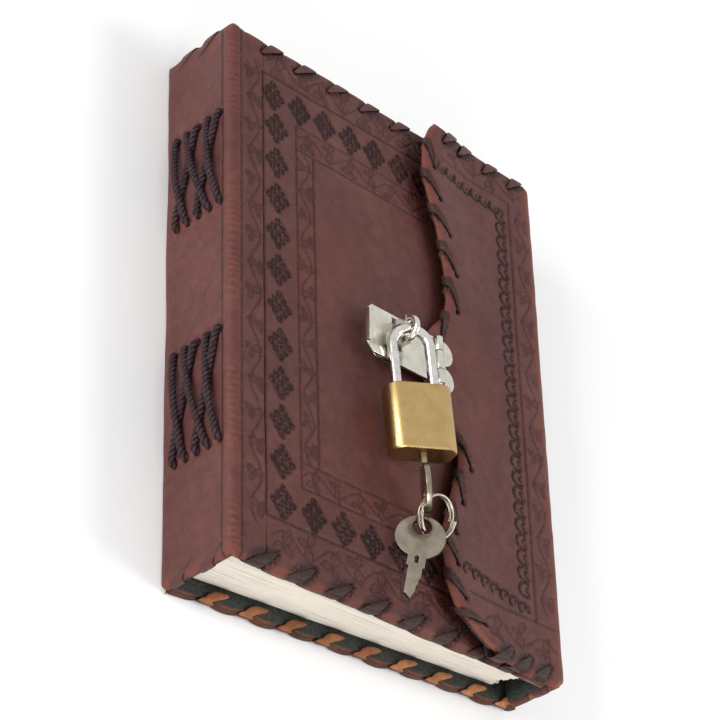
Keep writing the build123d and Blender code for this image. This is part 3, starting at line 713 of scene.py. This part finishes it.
# Linings: green-black woven book cloth. One piece is pasted to the inside of each panel of the
# hide, cut a little short of its edges.
cloth, tree, shader, place = finish_of("lining_cloth", 0.85)
fleck = ranged(tree, noise(tree, place, 900.0, 3.0, 0.7), 0.35, 0.7)
weave = node(tree, "ShaderNodeTexVoronoi", None, Vector=place, Scale=1500.0).outputs[0]
feed(tree, shader, colour=mixed(tree, fleck, (0.006, 0.008, 0.006, 1), (0.040, 0.045, 0.036, 1)),
     normal=bumped(tree, weave, 0.5, 0.0004))
CLOTH = 0.5
LINED = HALF_H - 0.8


def lining(name, nu, nv, where, body):
    """A pasted cloth lining, from a place function over the panel."""
    piece = panel(name, nu, nv, lambda u, v: (where(u, v), {}))
    thicken(piece, CLOTH, (cloth,))
    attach(piece, body)
    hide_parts(name.replace("_cloth", "_lining"))


def spread(low, high, t):
    """A value between two ends."""
    return low + (high - low) * t


def back_cloth_place(u, v):
    z = 2.95 + 0.03 * waves(u * 124, v * 176, 30, 51)
    return np.stack([spread(-62.0, 62.2, u), spread(-LINED, LINED, v), z], -1)


def spine_cloth_place(u, v):
    return np.stack([-62.05 + 0 * u, spread(-LINED, LINED, u), spread(3.1, 26.2, v)], -1)


def front_cloth_place(u, v):
    return on_lid(spread(-61.4, 60.4, v), spread(-LINED, LINED, u), -2.98)


def strip_cloth_place(u, v):
    return np.stack([62.15 + 0 * u, spread(-LINED, LINED, v), spread(3.2, 21.2, u)], -1)


FLAP_LINED, FLAP_LINED_FORE, FLAP_LINED_IN = 86, 61.5, 1.6


def flap_cloth_place(u, v):
    y = spread(-FLAP_LINED, FLAP_LINED, u)
    x = spread(edge_x(y) + FLAP_LINED_IN, FLAP_LINED_FORE, v)
    return on_lid(x, y, 0.42 + flap_rise(x - edge_x(y), y))


lining("back_cloth", 40, 50, back_cloth_place, "book")
lining("spine_cloth", 50, 8, spine_cloth_place, "book")
lining("front_cloth", 50, 40, front_cloth_place, "front_cover")
lining("strip_cloth", 8, 50, strip_cloth_place, "strip")
lining("flap_cloth", 50, 24, flap_cloth_place, "flap")

# Gatherings: five sections of handmade paper, folded and stacked, with a soft uneven edge all
# round. They are sewn through the spine, thicker there, and lie loose towards the fore edge.
paper, tree, shader, place = finish_of("paper", 0.8)
pulp = ranged(tree, noise(tree, place, 130.0, 6.0, 0.65), 0.3, 0.7)
feed(tree, shader, colour=mixed(tree, pulp, (0.672, 0.61, 0.516, 1), (0.737, 0.68, 0.60, 1)),
     normal=bumped(tree, noise(tree, place, 1400.0, 4.0, 0.7), 0.3, 0.0002))
GATHERINGS, LEAVES, LEAF_THICK = 5, 10, 0.43
PAGE_SPINE, PAGE_FORE, PAGE_HALF = -61.7, 56.6, HALF_H - 3.6
BLOCK_LOW, BLOCK_HIGH = 3.3, THICK - 3.6


def page_height(t, x):
    """Height of the block at a part t of its thickness, at x."""
    top = BLOCK_HIGH - (x + HALF_W) * math.tan(SLOPE)
    return BLOCK_LOW + (top - BLOCK_LOW) * t


for g in range(GATHERINGS):
    leaves = []
    for k in range(LEAVES):
        part = (g + (k + 0.86) / LEAVES) / GATHERINGS
        seed = 100 + g * LEAVES + k
        shift, trim = rng.uniform(-0.12, 0.12, 2)
        slip = 1.8 - 2.8 * part  # the block leans: its lower leaves lie further in at the tail
        bow = ((k - (LEAVES - 1) / 2) / (LEAVES / 2)) ** 2

        def leaf_place(u, v):
            """One leaf, from the fold at the spine to its uneven fore edge."""
            y = (2 * v - 1) * (PAGE_HALF + trim)
            far = PAGE_FORE - 0.7 * ((2 * g) % 3) + shift + 0.35 * waves(y, 0 * y, 30, seed)
            x = spread(PAGE_SPINE + 1.3 * bow, far, u)
            y = y + slip + 0.07 * waves(x, 0 * x, 24, seed + 60) * np.sign(2 * v - 1)
            z = page_height(part, x) + 0.045 * waves(x, y, 40, 90 + g)
            z = z + 0.012 * waves(x, y, 22, seed)
            return np.stack([x, y, z], -1), {}

        leaf = panel(f"leaf_{g}_{k}", 34, 24, leaf_place)
        leaves.append(thicken(leaf, LEAF_THICK, (paper,)))
    choose(leaves[0])
    for leaf in leaves:
        leaf.select_set(True)
    bpy.ops.object.join()
    pages = bpy.context.object
    pages.name = f"pages_{g + 1}"
    bpy.ops.object.shade_smooth_by_angle(angle=math.radians(40))
    pages.select_set(False)
    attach(pages, "book")
    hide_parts(f"gathering_{g + 1}")

# Spine sewing: two stations of five thick waxed cords, sewn through holes in the spine's hide. Each
# is three plies twisted together; the ones that rise cross over the ones that fall.
cord, tree, shader, place = finish_of("waxed_cord", 0.55, specular=0.2)
fluff = ranged(tree, noise(tree, place, 1300.0, 6.0, 0.75), 0.4, 0.72)
fibre = mixed(tree, fluff, (0.022, 0.010, 0.013, 1), (0.120, 0.062, 0.070, 1))
# The grooves between the plies are painted near black as painted shade; the crowns keep the fibre
# colour.
crown = ranged(tree, mark_in(tree, "crown"), 0.2, 0.8)
feed(tree, shader, colour=mixed(tree, crown, (0.006, 0.003, 0.004, 1), fibre),
     normal=bumped(tree, noise(tree, place, 1900.0, 5.0, 0.75), 0.9, 0.0006))


def mesh_piece(name, points, faces, material):
    """A mesh from points in millimetres and faces."""
    data = bpy.data.meshes.new(name)
    data.from_pydata((np.asarray(points) * MM).tolist(), [], faces)
    data.materials.append(material)
    piece = bpy.data.objects.new(name, data)
    bpy.context.collection.objects.link(piece)
    data.shade_smooth()
    return piece


def swept(sections):
    """Points and faces of closed tubes, each a list of rings of points."""
    points, faces = [], []
    for rings in sections:
        rows, count, first = len(rings), len(rings[0]), len(points)
        points.extend(np.concatenate(rings))
        for i in range(rows - 1):
            for j in range(count):
                a, b = first + i * count + j, first + i * count + (j + 1) % count
                faces.append((a, b, b + count, a + count))
        faces.append(tuple(range(first + count - 1, first - 1, -1)))
        faces.append(tuple(range(first + (rows - 1) * count, first + rows * count)))
    return points, faces


def spaced_path(points, step):
    """A smooth curve through points, at even steps."""
    points = np.array(points, float)
    ends = np.concatenate([[2 * points[0] - points[1]], points, [2 * points[-1] - points[-2]]])
    t = np.linspace(0, 1, 24, endpoint=False)[:, None]
    out = []
    for a, b, c, d in zip(ends, ends[1:], ends[2:], ends[3:]):
        square, cube = 2 * a - 5 * b + 4 * c - d, 3 * b - a - 3 * c + d
        out.append(0.5 * (2 * b + (c - a) * t + square * t ** 2 + cube * t ** 3))
    out = np.concatenate(out + [points[-1:]])
    along = np.concatenate([[0], np.cumsum(np.linalg.norm(np.diff(out, axis=0), axis=1))])
    at = np.linspace(0, along[-1], max(8, int(along[-1] / step)))
    return at, np.stack([np.interp(at, along, out[:, i]) for i in range(3)], 1)


def twisted(points, radius, lay, seed):
    """Rings of a three-ply cord along a path, and how high each point is on its ply."""
    at, line = spaced_path(points, 0.32)
    r = np.random.default_rng(seed)
    way = np.gradient(line, axis=0)
    way /= np.linalg.norm(way, axis=1)[:, None]
    side = np.cross(way[0], (0.3, 0.2, 1.0))
    turn = np.linspace(0, 2 * math.pi, 24, endpoint=False)
    phase = r.uniform(0, 6)
    rings, crowns = [], []
    for s, p, w in zip(at, line, way):
        side = unit(side - w * (side @ w))
        up = np.cross(w, side)
        crown = np.abs(np.cos(1.5 * (turn - s * math.pi / lay) + phase))
        crowns.append(crown)
        grow = radius * (0.72 + 0.38 * crown ** 0.7)
        rings.append(p + np.outer(grow * np.cos(turn), side) + np.outer(grow * np.sin(turn), up))
    return rings, np.concatenate(crowns)


CROSSING = (1, 3, 0, 4, 2)  # the hole at the tail end of a station that each cord goes to
CORD_RADIUS, CORD_LAY = 1.05, 2.5
CORD_IN, CORD_HOLE, CORD_TURN, CORD_OUT = -62.2, -64.9, -65.9, -66.1  # its x, out of the spine
for name, (low_y, high_y) in STATIONS.items():
    strands = []
    for top, bottom in enumerate(CROSSING):
        over = 1.5 if bottom > top else 0.0
        za, zb = HOLE_ZS[top], HOLE_ZS[bottom]
        sag = rng.uniform(-0.5, 0.5)
        strands.append(twisted(
            [(CORD_IN, high_y, za), (CORD_HOLE, high_y - 0.1, za),
             (CORD_TURN, high_y - 1.6, za + (zb - za) * 0.04),
             (CORD_OUT - 0.6 * over, spread(high_y, low_y, 0.25), spread(za, zb, 0.24) + sag * 0.6),
             (CORD_OUT - over, (low_y + high_y) / 2, (za + zb) / 2 + sag),
             (CORD_OUT - 0.6 * over, spread(high_y, low_y, 0.75), spread(za, zb, 0.76) + sag * 0.6),
             (CORD_TURN, low_y + 1.6, zb + (za - zb) * 0.04),
             (CORD_HOLE, low_y + 0.1, zb), (CORD_IN, low_y, zb)],
            CORD_RADIUS, CORD_LAY, 200 + top))
    sewing = mesh_piece(f"{name}_cords", *swept([rings for rings, _ in strands]), cord)
    # The crown mark lets the cord's finish paint shade into the grooves between the plies.
    mark(sewing, "crown", np.concatenate([crowns for _, crowns in strands]))
    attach(sewing, "book")
    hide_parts(f"{name}_sewing")

# Lacing: flat leather lace whipped over every cut edge through punched slits. It slants along the
# face, turns over the edge and comes back through the next slit; inside it shows its tan side.
lace_face, lace_dark, lace_tan = [leather_finish(*finish) for finish in (
    ("lace_face", (0.085, 0.033, 0.030), (0.140, 0.057, 0.050), (0.17, 0.065, 0.045), 0.38),
    ("lace_dark", (0.034, 0.018, 0.015), (0.075, 0.038, 0.032), (0.08, 0.04, 0.03), 0.36),
    ("lace_tan", (0.20, 0.065, 0.024), (0.62, 0.27, 0.11), (0.6, 0.3, 0.14), 0.36),
)]
# One stitch, point by point: along the edge, in from it, out of the face, part of the lace's width,
# and the way its flat side looks, in from the edge and out of the face.
STITCH = np.array([
    (0.0, 5.2, -0.9, 0.22, 0.3, 1), (0.4, 5.0, -0.12, 0.3, 0, 1), (2.2, 3.6, 0.06, 0.56, 0, 1),
    (4.6, 1.9, 0.06, 0.88, 0, 1), (6.2, 0.7, -0.15, 1, -0.4, 1), (6.8, 0.15, -0.7, 1, -1, 0.4),
    (7.2, 0, -1.5, 1, -1, 0), (7.6, 0.15, -2.4, 1, -1, -0.4), (8.0, 0.8, -3.05, 1, 0, -1),
    (9.6, 3.0, -3.15, 0.7, 0, -1), (11.0, 4.8, -3.15, 0.35, 0, -1), (11.4, 5.2, -2.5, 0.2, 0, -1),
])
STITCH_PITCH = 13.9
BACK_STITCH = np.array(STITCH)
BACK_STITCH[7:] = [
    (6.6, 0.2, -2.4, 0.7, -1, -0.4), (7.8, 0.7, -3.0, 0.7, -0.5, -1), (9.4, 1.7, -3.35, 1.0, 0, -1),
    (11.0, 2.7, -3.45, 1.0, 0, -1), (12.2, 3.3, -2.9, 0.5, 0, -1),
]


def whipped(name, runs, body, source, wide=5.6, thick=0.5, inside=None, stitch=STITCH,
            second=lace_tan):
    """One set of stitches. Each run is a place function, the stitches' starts, pitch and lean."""
    steps = np.linspace(0, len(stitch) - 1, 40)
    path = np.stack([np.interp(steps, np.arange(len(stitch)), column) for column in stitch.T], 1)
    out = path[:, 4:] / np.hypot(path[:, 4], path[:, 5])[:, None]
    sections = []
    for where, starts, pitch, lean, *own in runs:
        lace = own[0] if own else wide
        for start in starts:
            rings = []
            for turn in np.linspace(0, 2 * math.pi, 14, endpoint=False):
                flat = np.sign(math.cos(turn)) * abs(math.cos(turn)) ** 0.6 * path[:, 3] * lace / 2
                proud = math.sin(turn) * thick / 2
                rings.append(where(start + lean * (path[:, 0] * pitch / STITCH_PITCH + flat),
                                   path[:, 1] + out[:, 0] * proud, path[:, 2] + out[:, 1] * proud))
            sections.append(list(np.stack(rings, 1)))
    piece = mesh_piece(name, *swept(sections), lace_face)
    piece.data.materials.append(second)
    if inside is not None:
        centres = np.empty(len(piece.data.polygons) * 3)
        piece.data.polygons.foreach_get("center", centres)
        slots = inside(centres.reshape(-1, 3) / MM).astype(np.int32)
        piece.data.polygons.foreach_set("material_index", slots)
    choose(piece)
    bpy.ops.object.mode_set(mode="EDIT")
    face_out()
    piece.select_set(False)
    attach(piece, body)
    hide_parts(source)


whipped("front_laces", [
    (lambda a, b, h: on_lid(a, HALF_H - b, h), HEAD_STITCHES, HEAD_PITCH, 1),
    (lambda a, b, h: on_lid(a, b - HALF_H, h - 0.15), TAIL_STITCHES, TAIL_PITCH, -1),
], "front_cover", "front_lacing", inside=lambda c: c[:, 1] < 0, second=lace_dark)


def on_back(end):
    """Places on the back: along its head (1) or tail (-1) edge, in from it and out of the face."""
    return lambda a, b, h: np.stack(np.broadcast_arrays(a, end * (HALF_H - b), 0.58 - h), -1)


whipped("back_laces", [
    (on_back(-1), BACK_STITCHES, BACK_PITCH, 1),
    (on_back(1), BACK_STITCHES[:-1] + BACK_PITCH, BACK_PITCH, -1),
], "book", "back_lacing", 5.6, 1.0, lambda c: c[:, 2] > 2.3, BACK_STITCH)


def on_spine(end):
    """Places on the spine: up its head or tail edge, in from it and out of the face."""
    return lambda a, b, h: np.stack(np.broadcast_arrays(-HALF_W - h, end * (HALF_H - b), a), -1)


whipped("spine_laces", [
    (on_spine(1), (4.5, 15.0), 12.0, 1), (on_spine(-1), (26.5, 13.8), 16.0, -1),
], "book", "spine_lacing")


def on_strip(end):
    """Places on the fore-edge strip: up its head or tail edge, in from it and out of the face."""
    def place(a, b, h):
        x = np.interp(a, (0.0, 3.2, 22.0), (65.6, 65.95, fold_x)) + h
        return np.stack(np.broadcast_arrays(x, end * (HALF_H - b), a), -1)
    return place


whipped("strip_laces", [
    (on_strip(1), (3.5, 11.0), 8.5, 1), (on_strip(-1), (3.5, 11.0), 8.5, 1),
], "strip", "strip_lacing")


def on_flap_edge(a, b, h):
    x, y = on_scallop(a, b)
    return on_lid(x, y, h + FLAP_H + flap_rise(b, y))


def on_flap_head(a, b, h):
    return on_lid(a, HALF_H + 1.0 - b, h + FLAP_H + flap_rise(a - edge_x(HALF_H), HALF_H - b))


def on_flap_tail(a, b, h):
    rise = flap_rise(a - edge_x(-HALF_H), b - HALF_H)
    return on_lid(a, b - HALF_H - TAIL_DROP * 0.8, h - 0.2 + FLAP_H + rise)


def scallop_face(centres):
    """Faces of the stitches on the scalloped edge, which have gone dark with handling."""
    x, y, _ = centres.T
    along = (x + HALF_W) / COS - HALF_W
    return ((along - edge_x(y) < 9) & (np.abs(y) < 81)) | (y < -82)


whipped("flap_laces", [
    (on_flap_head, FLAP_HEAD_STITCHES, 10.6, 1), (on_flap_tail, FLAP_TAIL_STITCHES, 10.6, -1),
    (on_flap_edge, SCALLOP_AT, 18.0, 1, 3.2),
], "flap", "flap_lacing", 5.2, 0.5, scallop_face, STITCH, lace_dark)

# Staple: a nickel-plated wire loop set in a plate, which is riveted to the front. It stands up
# through the hasp's slot and takes the padlock.


def metal_finish(name, rough, clean, dull, gloss, spots, scratches=None):
    """Plated metal with duller spots. Scratches are a noise, a strength and a depth."""
    material, tree, shader, place = finish_of(name, rough, 1.0)
    tarnish = ranged(tree, noise(tree, place, *spots), 0.35, 0.75)
    feed(tree, shader, colour=mixed(tree, tarnish, (*clean, 1), (*dull, 1)),
         rough=ranged(tree, tarnish, 0.0, 1.0, *gloss))
    if scratches:
        feed(tree, shader, normal=bumped(tree, noise(tree, place, *scratches[0]), *scratches[1:]))
    return material


nickel = metal_finish("nickel_plate", 0.2, (0.66, 0.64, 0.57), (0.44, 0.41, 0.35), (0.14, 0.34),
                      (220.0, 6.0, 0.65), ((900.0, 5.0, 0.7), 0.1, 0.0002))


def cast(name, source, material, body, bevel=0.0, angle=35.0):
    """A shown copy of a CAD node: merged, with its sharp edges eased, in its finish."""
    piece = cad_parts[source].copy()
    piece.data = piece.data.copy()
    piece.parent = None
    piece.matrix_world = Matrix.Identity(4)
    piece.name = name
    bpy.context.collection.objects.link(piece)
    piece.data.materials.clear()
    piece.data.materials.append(material)
    choose(piece)
    bpy.ops.object.mode_set(mode="EDIT")
    bpy.ops.mesh.select_all(action="SELECT")
    bpy.ops.mesh.remove_doubles(threshold=1e-6)
    bpy.ops.mesh.customdata_custom_splitnormals_clear()
    bpy.ops.mesh.tris_convert_to_quads(
        face_threshold=math.radians(1), shape_threshold=math.radians(180))
    bpy.ops.object.mode_set(mode="OBJECT")
    piece.data.polygons.foreach_set("material_index", np.zeros(len(piece.data.polygons), np.int32))
    if bevel:
        eased = piece.modifiers.new("eased", "BEVEL")
        eased.width = bevel * MM
        eased.segments = 2
        eased.limit_method = "ANGLE"
        eased.angle_limit = math.radians(40)
        bpy.ops.object.modifier_apply(modifier="eased")
    bpy.ops.object.shade_smooth_by_angle(angle=math.radians(angle))
    piece.select_set(False)
    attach(piece, body)
    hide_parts(source)


cast("staple_base", "staple_plate", nickel, "front_cover", 0.15)
cast("staple_loop", "staple", nickel, "front_cover")
cast("staple_studs", "staple_rivets", nickel, "front_cover")

# Hasp: a pressed nickel-plated base riveted to the flap's tongue, a pin through its lugs, and a
# slotted leaf with a turned-up finger lip that drops over the staple.
cast("hasp_foot", "hasp_base", nickel, "flap", 0.2)
cast("hasp_studs", "hasp_rivets", nickel, "flap")
cast("hasp_hinge_pin", "hasp_pin", nickel, "flap", 0.15)
cast("hasp_plate", "hasp_leaf", nickel, "hasp_leaf", 0.18)

# Padlock: a brushed brass block bored for a chromed shackle, a latch and a wafer plug; the shackle
# passes through the staple's loop and keeps the hasp shut.
brass, tree, shader, place = finish_of("brushed_brass", 0.28, 1.0)
LOCK_ACROSS = (0.9156656876, 0.0745575043, 0.3949652226)
LOCK_UP = (-0.0834987842, 0.9964928592, 0.0054712436)
LOCK_OUT = (-0.3931721017, -0.0379889459, 0.9186797801)
dot = {"operation": "DOT_PRODUCT"}
turned = [node(tree, "ShaderNodeVectorMath", dot, i0=place, i1=way).outputs[1]
          for way in (LOCK_ACROSS, LOCK_UP, LOCK_OUT)]
own = node(tree, "ShaderNodeCombineXYZ", None, X=turned[0], Y=turned[1], Z=turned[2]).outputs[0]
drawn = node(tree, "ShaderNodeMapping", None, Vector=own, Scale=(1.0, 0.05, 1.0)).outputs[0]
brushed = noise(tree, drawn, 2600.0, 5.0, 0.65)
dull = ranged(tree, noise(tree, place, 260.0, 5.0, 0.6), 0.3, 0.75)
feed(tree, shader, colour=mixed(tree, dull, (0.50, 0.35, 0.155, 1), (0.40, 0.27, 0.11, 1)),
     rough=ranged(tree, brushed, 0.25, 0.75, 0.2, 0.42), normal=bumped(tree, brushed, 0.12, 0.0003))
chrome = metal_finish("chromed_steel", 0.1, (0.66, 0.65, 0.62), (0.5, 0.48, 0.45), (0.06, 0.2),
                      (400.0, 4.0))
cast("lock_shackle", "shackle", chrome, "shackle")
cast("lock_body", "padlock_body", brass, "padlock_body", 0.25)
cast("lock_pins", "stop_pins", chrome, "padlock_body")
cast("lock_latch", "latch", chrome, "latch", 0.1)
cast("lock_plug", "plug", brass, "plug")
cast("lock_wafers", "wafers", brass, "plug")


def ends_of(source, way):
    """The two ends of a CAD node's axis along a direction, in millimetres."""
    places, way = points_of(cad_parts[source]), np.array(way)
    middle = (places.min(0) + places.max(0)) / 2
    reach = (places - middle) @ way
    return middle + way * (reach.min() + 0.3), middle + way * (reach.max() - 0.3)


def coil(name, source, axis, radius, wire, turns):
    """A round-wire spring along a CAD node's axis, from the body to the piece that it pushes."""
    start, end = ends_of(source, axis)
    way = unit(end - start)
    side = unit(np.cross(way, (0.2, 0.3, 0.9)))
    up = np.cross(way, side)
    t = np.linspace(0, 1, int(turns * 20))
    wound = t * turns * 2 * math.pi
    line = start + np.outer(t, end - start) + radius * (
        np.outer(np.cos(wound), side) + np.outer(np.sin(wound), up))
    along = np.gradient(line, axis=0)
    along /= np.linalg.norm(along, axis=1)[:, None]
    ring = np.linspace(0, 2 * math.pi, 8, endpoint=False)
    rings = []
    for p, w in zip(line, along):
        a = unit(np.cross(w, way))
        b = np.cross(w, a)
        rings.append(p + wire * (np.outer(np.cos(ring), a) + np.outer(np.sin(ring), b)))
    piece = mesh_piece(name, *swept([rings]), chrome)
    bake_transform(piece)
    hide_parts(source)


coil("heel_spring", "shackle_spring", LOCK_UP, 1.0, 0.18, 3.0)
coil("bolt_spring", "latch_spring", LOCK_ACROSS, 0.62, 0.14, 4.0)

# Keys: two keys stamped and cut from nickel-plated steel, one in the lock and one spare. They hang
# on a split ring of two turns of spring wire.
plated = metal_finish("plated_key", 0.26, (0.32, 0.28, 0.22), (0.18, 0.15, 0.11), (0.18, 0.4),
                      (300.0, 6.0, 0.65), ((1200.0, 4.0), 0.15, 0.0003))
cast("lock_key", "key", plated, "key", 0.18)
cast("split_ring", "key_ring", plated, "key_ring", 0.0, 60.0)
cast("other_key", "spare_key", plated, "spare_key", 0.18)

# Room: a pale floor under the diary, soft panels of light and a white surround.


def in_view(tree):
    """1 for rays from the camera and those that metal and glass pass on, 0 for the rest."""
    rays = node(tree, "ShaderNodeLightPath").outputs
    seen = combined(tree, "MAXIMUM", rays["Is Camera Ray"], rays["Is Glossy Ray"])
    return combined(tree, "MAXIMUM", seen, rays["Is Transmission Ray"])


bpy.ops.mesh.primitive_plane_add(size=8.0, location=(0, 0, -0.0001))
floor = bpy.context.object
floor.name = "floor"
pale, tree, shader, place = finish_of("pale_floor", 0.9, specular=0.1)
shade = ranged(tree, noise(tree, place, 3.0), 0.3, 0.7)
feed(tree, shader, colour=mixed(tree, shade, (0.93, 0.93, 0.93, 1), (0.95, 0.95, 0.95, 1)))
shader.inputs["Emission Color"].default_value = (1, 1, 1, 1)
glow = ranged(tree, in_view(tree), 0.0, 1.0, 0.0, 0.09)
tree.links.new(glow, shader.inputs["Emission Strength"])
floor.data.materials.append(pale)


def soft_light(name, place, aim, size, power):
    """A square panel of light."""
    data = bpy.data.lights.new(name, "AREA")
    data.size = size
    data.energy = power
    lamp = bpy.data.objects.new(name, data)
    lamp.location = place
    lamp.rotation_euler = (Vector(aim) - Vector(place)).to_track_quat("-Z", "Y").to_euler()
    bpy.context.collection.objects.link(lamp)


soft_light("right", (0.9, -0.25, 1.0), (0, 0, 0), 0.6, 7.0)
soft_light("left", (-1.1, 0.1, 0.35), (0, 0, 0.02), 0.7, 11.0)
soft_light("front", (-0.2, -1.15, 0.3), (0, 0, 0.02), 0.7, 7.0)
world = bpy.data.worlds.new("white_room")
bpy.context.scene.world = world
world.use_nodes = True
tree = world.node_tree
ground = tree.nodes["Background"]
ground.inputs["Color"].default_value = (1, 1, 1, 1)
tree.links.new(ranged(tree, in_view(tree), 0.0, 1.0, 0.5, 1.0), ground.inputs["Strength"])

# Camera: above the tail end of the spine, rolled with the diary, as the picture was taken.
view = bpy.data.cameras.new("camera")
view.sensor_width = 36.0
view.lens = 125.61
view.clip_start = 0.01
camera = bpy.data.objects.new("camera", view)
right = Vector((0.7429865, -0.0268199, 0.6687688))
down = Vector((0.3293491, -0.8552032, -0.4001957))
ahead = Vector((0.5826665, 0.5175984, -0.6265713))
camera.matrix_world = Matrix.Translation((-0.4366604, -0.3842153, 0.4810819)) @ Matrix(
    (right, -down, -ahead)).transposed().to_4x4()
bpy.context.collection.objects.link(camera)
bpy.context.scene.camera = camera
bpy.context.scene.view_settings.view_transform = "Standard"
